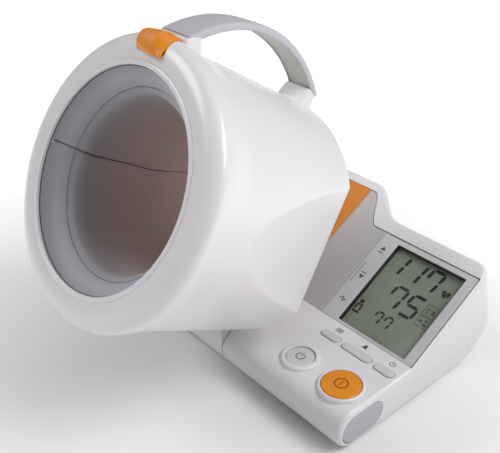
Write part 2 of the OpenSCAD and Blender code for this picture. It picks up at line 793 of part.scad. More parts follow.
// A flat on the barrel's right flank clears the view of the display
flat_front_w = 42;
flat_angle = 10.5;
module flat_cut(inset = 0) {
    translate([barrel_r - inset / cos(flat_angle), flat_front_w, -barrel_r * 1.5])
        rotate([0, 0, flat_angle]) translate([0, -cuff_len, 0])
            cube([barrel_r, 3 * cuff_len, 3 * barrel_r]);
}
module barrel_solid(inset = 0) {
    difference() {
        revolve() polygon(concat([[0, face_w + inset]], barrel_outline(inset), [[0, cuff_len - inset]]));
        flat_cut(inset);
    }
}
trim_r = mouth_r + 3.4;
cover_t_rear = 3;
cover_edge = 2;
lug_front = cuff_len - 14;
// Side view of the web that joins the knuckle to the barrel, as [distance, height]
module lug_web() {
    // the web's front face drops straight from the barrel to the front of the knuckle
    front = [hinge_w - nose_r * cos(cuff_tilt), -hinge_drop - nose_r * sin(cuff_tilt)];
    rise = 21;
    upper = front + rise * [-sin(cuff_tilt), cos(cuff_tilt)];
    translate([cuff_x - knuckle_left, 0, 0])
        rotate([90, 0, 90]) linear_extrude(knuckle_left - knuckle_right)
            polygon([front, upper, [lug_front, upper[1] + 2], [lug_front, -rear_r + 26],
                     [cuff_len - 0.5, -rear_r + 26], [cuff_len - 0.5, -hinge_drop]]);
}
// A root of the handle from its side view, given as [distance, height]
module handle_root(w, outline) {
    translate([-w / 2, 0, 0]) rotate([90, 0, 90]) linear_extrude(w) polygon(outline);
}
front_root_low = ring_r - 15;
rear_root_low = rear_r - 8;
root_rim = 0.8;
module handle_roots() {
    // the front root rises from behind the release button and falls steeply behind the handle's foot
    handle_root(handle_front_w + 2 * root_rim, [[handle_front[0] - 3.4, front_root_low],
        handle_front + [-3.4, -0.4], handle_front + [0, 2.3], handle_front + [6.6, 4.6],
        handle_front + [11.5, -6.6], [handle_front[0] + 12, front_root_low]]);
    // the rear root slopes up to the handle's underside and ends with the barrel
    handle_root(handle_rear_w + 2 * root_rim, [[handle_rear[0] - 15, rear_root_low],
        handle_rear + [-13.5, -5.6], handle_rear + [-8.8, 4.2], handle_rear + [-0.5, 0.5],
        [handle_rear[0] - 0.5, rear_root_low]]);
}
module barrel_shell() color([0.93, 0.93, 0.93])
    on_cuff() difference() {
        union() {
            barrel_solid();
            lug_web();
            translate([cuff_x, hinge_w, -hinge_drop]) rotate([0, 90, 0])
                translate([0, 0, -knuckle_left]) cylinder(h = knuckle_left - knuckle_right, r = nose_r);
            handle_roots();
        }
        difference() {
            barrel_solid(barrel_wall);
            release_well();
        }
        // mouth opening with a seat for the trim ring
        revolve() translate([0, -5]) square([trim_r, 5 + 2 * barrel_wall + face_w]);
        // rear opening with a seat for the rear cover
        revolve() translate([0, cuff_len - 2 * barrel_wall])
            square([arm_r + 8, 3 * barrel_wall]);
        intersection() {
            revolve() translate([0, cuff_len - cover_t_rear]) square([rear_r - cover_edge - barrel_wall, 9]);
            translate([-2 * barrel_r, cuff_len - cover_t_rear, -2 * barrel_r])
                cube([4 * barrel_r, 9, 4 * barrel_r]);
            difference() {
                cube(8 * barrel_r, center = true);
                flat_cut(barrel_wall + cover_edge);
            }
        }
        translate([cuff_x, hinge_w, -hinge_drop]) rotate([0, 90, 0])
            translate([0, 0, -knuckle_left - 1])
                cylinder(h = knuckle_left - knuckle_right + 2, r = pin_r + pin_play);
        release_pocket();
        handle_sockets();
        cuff_screw_holes();
    }
// The bladder's hose runs straight down to the barrel's wall above the knuckle
hose_w = cuff_len - 7;
hose_low = -rear_r + barrel_wall + 0.3;

module mouth_trim() color([0.88, 0.87, 0.85])
    on_cuff() revolve() polygon(concat(
        [[mouth_r, 5], [trim_r, 5], [trim_r, 0]],
        [for (a = [0:20:180]) [(mouth_r + trim_r) / 2 + (trim_r - mouth_r) / 2 * cos(a),
            -0.4 - 1.2 * sin(a)]]));

rear_plate_r = rear_r - cover_edge - barrel_wall - 0.2;
module rear_cover() color([0.8, 0.8, 0.81])
    on_cuff() difference() {
        revolve() translate([arm_r + 2.2, cuff_len - cover_t_rear])
            square([rear_plate_r - arm_r - 2.2, cover_t_rear - 0.4]);
        flat_cut(barrel_wall + cover_edge + 0.2);
        cuff_screw_holes();
    }
// Four screws hold the rear cover to columns on the cuff frame
cover_screw_r = arm_r + 12;
module at_cover_screws() {
    for (a = [45:90:315]) rotate([0, a, 0]) translate([cover_screw_r, 0, 0]) children();
}
module cuff_screw_holes() {
    at_cover_screws() translate([0, cuff_len - 16, 0]) rotate([-90, 0, 0]) cylinder(h = 20, r = 1.5);
}
module rear_screws() color([0.7, 0.7, 0.72])
    on_cuff() at_cover_screws() {
        translate([0, cuff_len - 14, 0]) rotate([-90, 0, 0]) cylinder(h = 14, r = 1.5);
        translate([0, cuff_len - 0.4, 0]) rotate([-90, 0, 0])
            cylinder(h = 1.2, r1 = 3, r2 = 2.4);
    }

frame_r = arm_r + 8.5;
frame_t = 2.2;
funnel_end = 19;
frame_end = cuff_len - cover_t_rear;
module cuff_frame() color([0.55, 0.55, 0.57])
    on_cuff() difference() {
        union() {
            revolve() polygon([[frame_r - frame_t, funnel_end], [frame_r, funnel_end],
                [frame_r, frame_end], [frame_r - frame_t, frame_end]]);
            revolve() polygon([[mouth_r + 0.4, 6], [trim_r + 5, 6], [trim_r + 5, 8],
                [mouth_r + 2.4, 8], [frame_r, funnel_end + 2], [frame_r - frame_t, funnel_end + 2]]);
            at_cover_screws() translate([0, frame_end - 14, 0]) rotate([-90, 0, 0])
                cylinder(h = 14, r = 4.6);
        }
        at_cover_screws() translate([0, cuff_len - 16, 0]) rotate([-90, 0, 0])
            cylinder(h = 20, r = 1.5);
        revolve() translate([0, funnel_end]) square([frame_r - frame_t, cuff_len]);
        translate([0, hose_w, -frame_r - 1]) cylinder(h = frame_r / 2, r = hose_r + 0.1);
    }
liner_t = 1.6;
bladder_r = arm_r + liner_t + 0.2;
bladder_t = frame_r - frame_t - bladder_r - 0.2;
module air_bladder() color([0.35, 0.35, 0.38])
    on_cuff() revolve() polygon([
        [bladder_r, 40], [bladder_r + bladder_t, 44],
        [bladder_r + bladder_t, cuff_len - 3.5], [bladder_r, cuff_len - 3.5]]);
module cuff_liner() color([0.5, 0.5, 0.55])
    on_cuff() revolve() polygon([
        [mouth_r - 0.2, 2], [mouth_r - 0.2, 5.4], [arm_r + liner_t + 0.9, funnel_end + 4],
        [arm_r + liner_t, funnel_end + 8], [arm_r + liner_t, cuff_len - 1],
        [arm_r, cuff_len - 1], [arm_r, funnel_end + 8], [arm_r + 1.6, funnel_end + 1],
        [mouth_r - 2, 2]]);
module cuff_hose() color([0.25, 0.25, 0.26])
    on_cuff() hose([[0, hose_w, hose_low], [0, hose_w, -bladder_r - bladder_t - 0.1]], hose_r);

// ---------- handle ----------
// Ends of the handle's middle line, as [distance from the mouth, height above the cuff axis]
handle_front = [13.5, ring_r + 2];
handle_rear = [cuff_len - 0.5, rear_r + 8];
handle_span = handle_rear[0] - handle_front[0];
handle_foot = (handle_front[1] + handle_rear[1]) / 2;
handle_pull_h = handle_top + (handle_top - handle_foot) / 3;
handle_pull = [[handle_front[0] + 0.285 * handle_span, handle_pull_h],
    [handle_rear[0] - 0.285 * handle_span, handle_pull_h]];
handle_steps = 20;
function bezier(t) =
    pow(1 - t, 3) * handle_front + 3 * t * pow(1 - t, 2) * handle_pull[0]
    + 3 * t * t * (1 - t) * handle_pull[1] + pow(t, 3) * handle_rear;
function bezier_normal(t) =
    let (d = 3 * pow(1 - t, 2) * (handle_pull[0] - handle_front)
            + 6 * t * (1 - t) * (handle_pull[1] - handle_pull[0])
            + 3 * t * t * (handle_rear - handle_pull[1]))
    [-d[1], d[0]] / norm(d);
// The handle narrows between these two distances from the mouth
taper_w0 = handle_front[0] + 6.5;
taper_w1 = handle_rear[0] - 19.5;
module handle_band(low, high) {
    intersection() {
        translate([-base_w / 2, 0, 0]) rotate([90, 0, 90]) linear_extrude(base_w)
            polygon(concat(
                [for (k = [0:handle_steps]) let (t = k / handle_steps)
                    bezier(t) + high * bezier_normal(t)],
                [for (k = [handle_steps:-1:0]) let (t = k / handle_steps)
                    bezier(t) + low * bezier_normal(t)]));
        linear_extrude(2 * handle_top)
            polygon([[-handle_front_w / 2, 0], [handle_front_w / 2, 0],
                [handle_front_w / 2, taper_w0], [handle_rear_w / 2, taper_w1],
                [handle_rear_w / 2, cuff_len], [-handle_rear_w / 2, cuff_len],
                [-handle_rear_w / 2, taper_w1], [-handle_front_w / 2, taper_w0]]);
    }
}
module handle_sockets() handle_band(-handle_t / 2 - 0.1, handle_t / 2 + 0.1);
module handle_grip() color([0.68, 0.67, 0.7])
    on_cuff() handle_band(0, handle_t / 2);
module handle_core() color([0.66, 0.66, 0.62])
    on_cuff() handle_band(-handle_t / 2, 0);

// ---------- release button on top of the mouth ring ----------
release_w = 22;
release_len = 9.5;
release_travel = 2.5;
release_z0 = ring_r - 9;
release_lip_w = release_w + 2;
release_lip_t = 3;
release_proud = 1.6;
// The body stands in its well, and a lip in front of the mouth ring's face hides the well's opening
module release_shape() {
    reach = release_len + 5;
    intersection() {
        union() {
            translate([-release_w / 2, 0, release_z0]) cube([release_w, release_len, ring_edge * 4]);
            translate([-release_lip_w / 2, -release_lip_t, release_z0 - ring_edge])
                cube([release_lip_w, release_lip_t + face_w - lip_gap, ring_edge * 5]);
        }
        revolve() polygon([[0, -release_lip_t], [ring_r - 7, -release_lip_t],
            [ring_r - 2.4, 0.6 - release_lip_t], [ring_r, 2 - release_lip_t],
            [ring_r + release_proud, 5 - release_lip_t], [ring_r + release_proud, reach], [0, reach]]);
    }
}
lip_gap = 0.3;
module release_pocket() {
    translate([-release_w / 2 - key_clear, -4, well_z0])
        cube([release_w + 2 * key_clear, release_len + 4 + key_clear, 40]);
}
// The well under the button, closed by a floor
well_z0 = release_z0 - release_travel - 0.4;
well_wall = 1.5;
module release_well() {
    intersection() {
        translate([-release_w / 2 - key_clear - well_wall, face_w, well_z0 - well_wall])
            cube([release_w + 2 * (key_clear + well_wall), release_len + key_clear + well_wall, 40]);
        barrel_solid(1);
    }
}
module release_button() color([0.9, 0.53, 0.12])
    on_cuff() release_shape();

lower_case();
upper_case();
elbow_panel();
elbow_pad();
display_frame();
display_window();
display_module();
key_mat();
main_board();
pressure_sensor();
air_pump();
exhaust_valve();
base_hose();
batteries();
battery_contacts();
battery_cover();
power_inlet();
end_caps();
hinge_pin();
hinge_bushes();
rubber_feet();
case_screws();
power_button();
start_button();
left_key();
middle_key();
right_key();
barrel_shell();
mouth_trim();
rear_cover();
rear_screws();
cuff_frame();
air_bladder();
cuff_liner();
cuff_hose();
handle_grip();
handle_core();
release_button();
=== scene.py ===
# Looks of the arm-in blood pressure monitor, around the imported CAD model
import json
from math import cos, exp, hypot, pi, radians, sin, sqrt, tan

import bmesh
import bpy
import numpy as np
from mathutils import Matrix, Vector


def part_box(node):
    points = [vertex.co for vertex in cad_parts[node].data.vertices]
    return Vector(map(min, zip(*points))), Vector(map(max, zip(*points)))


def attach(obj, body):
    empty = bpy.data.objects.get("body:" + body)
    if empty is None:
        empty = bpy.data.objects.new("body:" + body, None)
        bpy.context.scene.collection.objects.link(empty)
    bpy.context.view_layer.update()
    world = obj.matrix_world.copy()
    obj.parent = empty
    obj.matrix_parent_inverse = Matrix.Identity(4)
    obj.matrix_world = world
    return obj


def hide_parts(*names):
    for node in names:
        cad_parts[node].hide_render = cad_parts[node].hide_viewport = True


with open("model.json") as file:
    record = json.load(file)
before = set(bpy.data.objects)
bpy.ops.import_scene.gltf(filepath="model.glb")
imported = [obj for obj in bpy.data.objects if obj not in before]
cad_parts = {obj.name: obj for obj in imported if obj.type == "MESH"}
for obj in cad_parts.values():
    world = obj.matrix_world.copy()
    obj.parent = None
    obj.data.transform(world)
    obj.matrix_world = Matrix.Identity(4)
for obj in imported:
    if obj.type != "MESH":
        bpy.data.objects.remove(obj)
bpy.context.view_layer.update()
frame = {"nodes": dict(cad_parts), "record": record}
nodes = frame["nodes"]

# ---------- sizes repeated from the part's source, in millimetres ----------
MM = 0.001
HALF_W, NOSE_R, FOOT_H = 116.0, 15.0, 1.5
DECK_LEN, BOTTOM_LEN = 59.0, 117.0
HEAD_LEN, LONG_LEN = 96.0, 120.0
HEAD_SLOPE, REAR_LEAN, SWEEP_A = (radians(a) for a in (30, 17, 42))
SWEEP_R, SPLIT_Z, RECESS_D = 30.0, 16.5, 2.5
CUFF_TILT, CUFF_LEN = radians(30), 140.0
HINGE_BACK, HINGE_DROP = 12.2, 96.0
RING_R, BARREL_R, REAR_R = 93.0, 90.0, 86.0
MOUTH_R, TRIM_R = 71.0, 74.4
KNUCKLE_X0, KNUCKLE_X1, KNUCKLE_GAP = -78.0, -3.0, 0.8
HANDLE_FRONT_W, HANDLE_REAR_W, HANDLE_T, HANDLE_TOP = 28.0, 23.0, 5.0, 120.0

pin_low, pin_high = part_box("hinge_pin")
NOSE_Y = (pin_low.y + pin_high.y) / 2 / MM
NOSE_Z = (pin_low.z + pin_high.z) / 2 / MM
DECK_Z = FOOT_H + 2 * NOSE_R
FOLD_Y = NOSE_Y + DECK_LEN
FLAT_END = NOSE_Y + BOTTOM_LEN
CUFF_X = HALF_W + 0.3 - RING_R


# ---------- frames: columns are the axes of the outline's plane and of its extrusion ----------
def frame_of(a, b, c, origin):
    m = Matrix((a, b, c)).transposed().to_4x4()
    m.translation = Vector(origin)
    return m


def cs(angle):
    return cos(angle), sin(angle)


c30, s30 = cs(HEAD_SLOPE)
cr, sr = cs(REAR_LEAN)
ct, st = cs(CUFF_TILT)
WORLD = Matrix.Identity(4)
SIDE = frame_of((0, 1, 0), (0, 0, 1), (1, 0, 0), (0, 0, 0))
SLOPE = frame_of((1, 0, 0), (0, c30, s30), (0, -s30, c30), (0, FOLD_Y, DECK_Z))
REAR = frame_of((1, 0, 0), (0, cr, sr), (0, -sr, cr), (0, FOLD_Y, DECK_Z))
DECK = frame_of((1, 0, 0), (0, 1, 0), (0, 0, 1), (0, 0, DECK_Z))
HINGE_W = CUFF_LEN + HINGE_BACK
CUFF_O = (-CUFF_X, NOSE_Y - HINGE_W * ct + HINGE_DROP * st, NOSE_Z + HINGE_W * st + HINGE_DROP * ct)
# Cuff frame: x across, w along the cuff from its mouth, v up from its axis
CUFF = frame_of((1, 0, 0), (0, ct, -st), (0, st, ct), CUFF_O)
# The same frame with outlines drawn in w and v, and extruded along x
CUFF_SIDE = frame_of((0, ct, -st), (0, st, ct), (1, 0, 0), CUFF_O)


# ---------- materials ----------
def srgb(*c):
    """A colour given in the 0 to 255 numbers of a screen, as linear values."""
    out = [((v / 255 + 0.055) / 1.055) ** 2.4 if v > 10 else v / 255 / 12.92 for v in c]
    return (*out, 1.0)


class Nodes:
    """A material under construction."""

    def __init__(self, name):
        self.mat = bpy.data.materials.new(name)
        self.mat.use_nodes = True
        self.tree = self.mat.node_tree
        self.shader = self.tree.nodes["Principled BSDF"]

    def add(self, kind, **values):
        node = self.tree.nodes.new(kind)
        for key, value in values.items():
            if key in node.inputs:
                node.inputs[key].default_value = value
            else:
                setattr(node, key, value)
        return node

    def link(self, source, target):
        self.tree.links.new(source, target)

    def into(self, name):
        """A socket of the shader."""
        return self.shader.inputs[name]

    def coords(self, kind="Object"):
        return self.add("ShaderNodeTexCoord").outputs[kind]

    def noise(self, where, scale, detail=4.0, rough=0.55):
        node = self.add("ShaderNodeTexNoise", Scale=scale, Detail=detail, Roughness=rough)
        self.link(where, node.inputs["Vector"])
        return node.outputs["Fac"]

    def span(self, source, low, high, from_low=0.3, from_high=0.7):
        node = self.add("ShaderNodeMapRange")
        for key, value in (("From Min", from_low), ("From Max", from_high), ("To Min", low), ("To Max", high)):
            node.inputs[key].default_value = value
        self.link(source, node.inputs["Value"])
        return node.outputs["Result"]

    def ramp(self, source, stops):
        node = self.add("ShaderNodeValToRGB")
        ramp = node.color_ramp
        while len(ramp.elements) < len(stops):
            ramp.elements.new(0.5)
        for element, (place, color) in zip(ramp.elements, stops):
            element.position, element.color = place, color
        self.link(source, node.inputs["Fac"])
        return node.outputs["Color"]

    def bump(self, height, strength, distance, under=None):
        node = self.add("ShaderNodeBump", Strength=strength, Distance=distance)
        self.link(height, node.inputs["Height"])
        if under:
            self.link(under, node.inputs["Normal"])
        return node.outputs["Normal"]

    def math(self, operation, a, b=None, value=None):
        node = self.add("ShaderNodeMath", operation=operation)
        self.link(a, node.inputs[0])
        if b is not None:
            self.link(b, node.inputs[1])
        elif value is not None:
            node.inputs[1].default_value = value
        return node.outputs[0]


def tint(color, factor):
    return (*[min(1.0, v * factor) for v in color[:3]], 1.0)


def moulded(name, color, rough=0.35, vary=0.03, grain=0.04, grain_size=1.2, coat=0.0, metallic=0.0,
            rough_vary=0.04):
    """Moulded plastic, rubber or metal: faint patches of tone, a fine grain, uneven gloss."""
    m = Nodes(name)
    at = m.coords()
    patches = m.noise(at, 14.0, 3.0)
    fine = m.noise(at, 1000.0 / grain_size, 3.0)
    gloss = m.noise(at, 60.0, 4.0)
    m.link(m.ramp(patches, [(0.3, tint(color, 1 - vary)), (0.7, tint(color, 1 + vary))]), m.into("Base Color"))
    m.link(m.span(gloss, rough - rough_vary, rough + rough_vary), m.into("Roughness"))
    m.link(m.bump(fine, grain, 0.0002), m.into("Normal"))
    m.into("Metallic").default_value = metallic
    m.into("Coat Weight").default_value = coat
    m.into("Coat Roughness").default_value = 0.12
    return m.mat


def brushed(name, color, rough=0.32):
    """Metal with fine lines along its length."""
    m = Nodes(name)
    stretch = m.add("ShaderNodeMapping")
    stretch.inputs["Scale"].default_value = (30.0, 900.0, 900.0)
    m.link(m.coords(), stretch.inputs["Vector"])
    lines = m.noise(stretch.outputs["Vector"], 2.0, 5.0)
    m.link(m.ramp(lines, [(0.3, tint(color, 0.85)), (0.7, tint(color, 1.12))]), m.into("Base Color"))
    m.link(m.span(lines, rough - 0.08, rough + 0.1), m.into("Roughness"))
    m.link(m.bump(lines, 0.15, 0.0001), m.into("Normal"))
    m.into("Metallic").default_value = 1.0
    return m.mat


def woven(name, tones_with_painted_shade, pitch=0.6, fuzz=0.2, shade=0.09):
    """Knitted cuff fabric: crossed ribs in the piece's own UV map, which is in metres, and a
    soft sheen. tones_with_painted_shade are (distance behind the mouth in mm, colour); the darker
    tones around 19 to 27 mm are painted shade where the funnel rolls into the tube."""
    m = Nodes(name)
    at = m.coords("UV")
    ribs = []
    for direction in ("X", "Y"):
        wave = m.add("ShaderNodeTexWave", bands_direction=direction, wave_profile="SIN")
        wave.inputs["Scale"].default_value = 1000.0 / pitch / pi / 2
        wave.inputs["Distortion"].default_value = 0.6
        wave.inputs["Detail"].default_value = 1.0
        m.link(at, wave.inputs["Vector"])
        ribs.append(wave.outputs["Fac"])
    knit = m.math("MULTIPLY", ribs[0], ribs[1])
    patches = m.noise(m.coords(), 25.0, 4.0)
    height = m.math("ADD", knit, m.noise(m.coords(), 1800.0, 2.0))
    mixed = m.math("ADD", m.math("MULTIPLY", knit, value=0.22), patches)
    axis = Vector((0, ct, -st))
    along = m.add("ShaderNodeVectorMath", operation="DOT_PRODUCT")
    along.inputs[1].default_value = axis
    m.link(m.coords(), along.inputs[0])
    mouth = Vector(CUFF_O).dot(axis) * MM
    depth = m.span(along.outputs["Value"], 0.0, 1.0, mouth, mouth + CUFF_LEN * MM)
    base = m.ramp(depth, [(w / CUFF_LEN, tone) for w, tone in tones_with_painted_shade])
    blend = m.add("ShaderNodeMix", data_type="RGBA", blend_type="MULTIPLY")
    blend.inputs[0].default_value = 1.0
    m.link(base, blend.inputs[6])
    m.link(m.ramp(mixed, [(0.3, (*[1 - shade] * 3, 1)), (0.8, (1, 1, 1, 1))]), blend.inputs[7])
    m.link(blend.outputs[2], m.into("Base Color"))
    m.link(m.bump(height, 0.2, 0.0002), m.into("Normal"))
    m.link(m.span(patches, 0.82, 0.95), m.into("Roughness"))
    m.into("Sheen Weight").default_value = fuzz
    m.into("Sheen Roughness").default_value = 0.5
    return m.mat


def clear(name, color):
    """Thin clear window: mostly see-through, with a gloss that grows at shallow angles."""
    m = Nodes(name)
    out = m.tree.nodes["Material Output"]
    glass = m.add("ShaderNodeBsdfTransparent", Color=color)
    gloss = m.add("ShaderNodeBsdfGlossy")
    weight = m.add("ShaderNodeLayerWeight", Blend=0.5)
    share = m.math("POWER", weight.outputs["Facing"], value=3.0)
    share = m.math("ADD", m.math("MULTIPLY", share, value=0.7), value=0.03)
    smear = m.span(m.noise(m.coords(), 90.0), 0.04, 0.1)
    m.link(smear, gloss.inputs["Roughness"])
    mix = m.add("ShaderNodeMixShader")
    m.link(share, mix.inputs[0])
    m.link(glass.outputs[0], mix.inputs[1])
    m.link(gloss.outputs[0], mix.inputs[2])
    m.tree.nodes.remove(m.shader)
    m.link(mix.outputs[0], out.inputs["Surface"])
    return m.mat


WHITE = srgb(225, 223, 226)
MATS = {
    "casing_white": moulded("white_casing", WHITE, 0.36, 0.012, 0.02, 6.0, coat=0.12),
    "barrel_white": moulded("white_barrel", srgb(226, 224, 227), 0.3, 0.008, 0.015, 8.0, coat=0.15,
                            rough_vary=0.02),
    "panel_gray": moulded("gray_panel", srgb(184, 182, 182), 0.55, 0.04, 0.12),
    "pad_orange": moulded("orange_pad", srgb(208, 124, 34), 0.6, 0.05, 0.3, 0.9),
    "frame_silver": moulded("silver_frame", srgb(206, 205, 208), 0.38, 0.03, 0.06, metallic=0.05),
    "window_clear": clear("clear_window", srgb(250, 251, 249)),
    "display_glass": moulded("display_glass", srgb(153, 161, 149), 0.3, 0.05, 0.02, coat=0.3),
    "key_rubber": moulded("key_rubber", srgb(80, 80, 84), 0.8, 0.05, 0.2),
    "board_green": moulded("board_green", srgb(26, 92, 52), 0.45, 0.1, 0.2),
    "black_plastic": moulded("black_plastic", srgb(32, 32, 34), 0.5, 0.08, 0.15),
    "pump_metal": brushed("pump_metal", srgb(190, 190, 194)),
    "valve_metal": brushed("valve_metal", srgb(190, 172, 122)),
    "hose_rubber": moulded("hose_rubber", srgb(48, 48, 50), 0.7, 0.08, 0.2),
    "cell_wrap": moulded("cell_wrap", srgb(62, 78, 120), 0.3, 0.06, 0.05, coat=0.4),
    "contact_metal": brushed("contact_metal", srgb(196, 192, 180), 0.25),
    "cap_gray": moulded("gray_cap", srgb(176, 177, 184), 0.42, 0.03, 0.08),
    "steel": brushed("plated_steel", srgb(188, 188, 192), 0.28),
    "bush_brass": brushed("bush_brass", srgb(190, 156, 92)),
    "foot_rubber": moulded("foot_rubber", srgb(44, 44, 45), 0.85, 0.08, 0.3),
    "key_gray": moulded("gray_key", srgb(206, 206, 208), 0.36, 0.02, 0.05, coat=0.1),
    "button_orange": moulded("orange_button", srgb(230, 140, 20), 0.4, 0.03, 0.03, 4.0, coat=0.1),
    "cover_gray": moulded("rear_cover", srgb(200, 199, 201), 0.5, 0.03, 0.12),
    "frame_gray": moulded("inner_frame", srgb(150, 150, 154), 0.6, 0.04, 0.1),
    "bladder_rubber": moulded("bladder_rubber", srgb(78, 78, 84), 0.75, 0.06, 0.2),
    # The fabric's tones along the cuff: the darker ones around 19 to 27 mm are painted shade where the funnel rolls
    # into the tube
    "cuff_fabric": woven("cuff_fabric", [
        (0, srgb(158, 156, 165)), (12, srgb(190, 188, 196)), (19, srgb(172, 170, 176)),
        (27, srgb(152, 148, 150)), (60, srgb(186, 168, 166)), (110, srgb(208, 188, 184))]),
    "handle_gray": moulded("gray_handle", srgb(186, 184, 190), 0.42, 0.03, 0.1),
    "handle_under": moulded("handle_lining", srgb(198, 197, 190), 0.5, 0.03, 0.12),
}
THREAD = moulded("thread", srgb(156, 154, 162), 0.8, 0.1, 0.3)
# Dark seam thread, also used as painted shade in the gap between the lip and the fabric
SEAM_THREAD_AND_GAP_SHADE = moulded("seam_thread_and_gap_shade", srgb(84, 80, 84), 0.85, 0.1, 0.3)
INK = moulded("printed_ink", srgb(92, 92, 98), 0.6, 0.05, 0.05)
DARK_INK = moulded("display_segments", srgb(24, 28, 26), 0.45, 0.05, 0.02)
PALE_SEGMENT = moulded("faint_segments", srgb(92, 106, 86), 0.4, 0.05, 0.02)
HEART_LINE = moulded("heart_line", srgb(112, 122, 108), 0.4, 0.05, 0.02)
# Black for the display well's walls, and painted shade in the groove under the bezel's edge
BLACK_WALLS_AND_GROOVE_SHADE = moulded("black_surround_and_groove_shade", srgb(18, 18, 19), 0.5, 0.05, 0.05)
START_MARK = moulded("start_mark", srgb(140, 62, 10), 0.5, 0.05, 0.05)

for row in frame["record"]["subparts"]:
    mesh = nodes[row["node"]].data
    mesh.materials.clear()
    mesh.materials.append(MATS[row["material_slot"]])


# ---------- mesh tools ----------
def placed(obj):
    """Puts an object into the scene."""
    bpy.context.scene.collection.objects.link(obj)
    return obj


def mesh_object(name, points, faces, matrix):
    """A mesh from points in millimetres in a frame."""
    data = bpy.data.meshes.new(name)
    data.from_pydata([tuple(matrix @ Vector(p) * MM) for p in points], [], faces)
    data.validate()
    return placed(bpy.data.objects.new(name, data))


def area2(outline):
    return sum(a[0] * b[1] - b[0] * a[1] for a, b in zip(outline, outline[1:] + outline[:1]))


def prism(name, outline, low, high, matrix):
    """An outline in a frame's first two axes, extruded along the third."""
    outline = list(outline) if area2(list(outline)) > 0 else list(outline)[::-1]
    n = len(outline)
    points = [(*p, low) for p in outline] + [(*p, high) for p in outline]
    faces = [list(range(n))[::-1], list(range(n, 2 * n))]
    faces += [[i, (i + 1) % n, n + (i + 1) % n, n + i] for i in range(n)]
    return mesh_object(name, points, faces, matrix)


def cylinder(name, centre, radius, low, high, matrix, count=96):
    turns = [2 * pi * i / count for i in range(count)]
    outline = [(centre[0] + radius * cos(a), centre[1] + radius * sin(a)) for a in turns]
    return prism(name, outline, low, high, matrix)


def rect(x0, y0, x1, y1, r=0.0, steps=6):
    if r <= 0:
        return [(x0, y0), (x1, y0), (x1, y1), (x0, y1)]
    out = []
    for cx, cy, a0 in ((x1 - r, y0 + r, -90), (x1 - r, y1 - r, 0),
                       (x0 + r, y1 - r, 90), (x0 + r, y0 + r, 180)):
        for k in range(steps + 1):
            a = radians(a0 + 90 * k / steps)
            out.append((cx + r * cos(a), cy + r * sin(a)))
    return out


def evaluated(obj):
    """Applies an object's modifiers."""
    depsgraph = bpy.context.evaluated_depsgraph_get()
    data = bpy.data.meshes.new_from_object(obj.evaluated_get(depsgraph))
    obj.modifiers.clear()
    old = obj.data
    obj.data = data
    data.name = old.name
    bpy.data.meshes.remove(old)
    return obj


def combine(obj, other, operation="DIFFERENCE"):
    """A boolean with another object, which is used up."""
    mod = obj.modifiers.new("combine", "BOOLEAN")
    mod.object, mod.operation, mod.solver = other, operation, "EXACT"
    evaluated(obj)
    bpy.data.objects.remove(other)
    return obj


def bevel(obj, width, segments=3, angle=35):
    mod = obj.modifiers.new("bevel", "BEVEL")
    mod.width, mod.segments = width * MM, segments
    mod.limit_method, mod.angle_limit = "ANGLE", radians(angle)
    mod.use_clamp_overlap = True
    return evaluated(obj)


def join(obj, *others):
    """Puts other meshes into obj's mesh."""
    bm = bmesh.new()
    bm.from_mesh(obj.data)
    for other in others:
        bm.from_mesh(other.data)
        bpy.data.objects.remove(other)
    bm.to_mesh(obj.data)
    bm.free()
    return obj


def dress(obj, slot, body, stands_for=(), sharp=38, weighted=True, material=None):
    """Shading, material (from its slot unless one is given) and body of a finished piece."""
    obj.data.materials.clear()
    obj.data.materials.append(material or MATS[slot])
    obj.data.polygons.foreach_set("use_smooth", [True] * len(obj.data.polygons))
    obj.data.set_sharp_from_angle(angle=radians(sharp))
    if weighted:
        mod = obj.modifiers.new("normals", "WEIGHTED_NORMAL")
        mod.keep_sharp = True
        mod.weight = 60
    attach(obj, body)
    if stands_for:
        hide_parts(*stands_for)
    return obj


def lathe(name, profile, matrix, count=192, closed=True, reach=None, turn=None):
    """A profile of (radius, distance) turned round the frame's second axis.
    reach(r, w, angle, i) may change a point's radius. UVs are arc length and turn, in metres."""
    n = len(profile)
    points, faces = [], []
    for j in range(count):
        a = 2 * pi * j / count
        for i, (r, w) in enumerate(profile):
            rr, ww = (reach(r, w, a, i) if reach else (r, w))
            points.append((rr * sin(a), ww, rr * cos(a)))
    last = n if closed else n - 1
    for j in range(count):
        k = (j + 1) % count
        for i in range(last):
            p = (i + 1) % n
            faces.append([j * n + i, j * n + p, k * n + p, k * n + i])
    obj = mesh_object(name, points, faces, matrix)
    lengths = [0.0]
    for (r0, w0), (r1, w1) in zip(profile, profile[1:] + profile[:1]):
        lengths.append(lengths[-1] + hypot(r1 - r0, w1 - w0))
    mean_r = sum(r for r, _ in profile) / n
    layer = obj.data.uv_layers.new(name="UVMap")
    uv = []
    for j in range(count):
        for i in range(last):
            for s, t in ((i, j), (i + 1, j), (i + 1, j + 1), (i, j + 1)):
                uv += [lengths[s] * MM, 2 * pi * t / count * mean_r * MM]
    if len(uv) == 2 * len(obj.data.loops):
        layer.data.foreach_set("uv", uv)
    return obj


def arc(cx, cy, r, a0, a1, steps):
    return [(cx + r * cos(radians(a0 + (a1 - a0) * k / steps)),
             cy + r * sin(radians(a0 + (a1 - a0) * k / steps))) for k in range(steps + 1)]


def smooth_min(a, b, k):
    h = max(k - abs(a - b), 0.0) / k
    return min(a, b) - h * h * k * 0.25


def s_blend(t):
    return (1 - cos(pi * t)) / 2


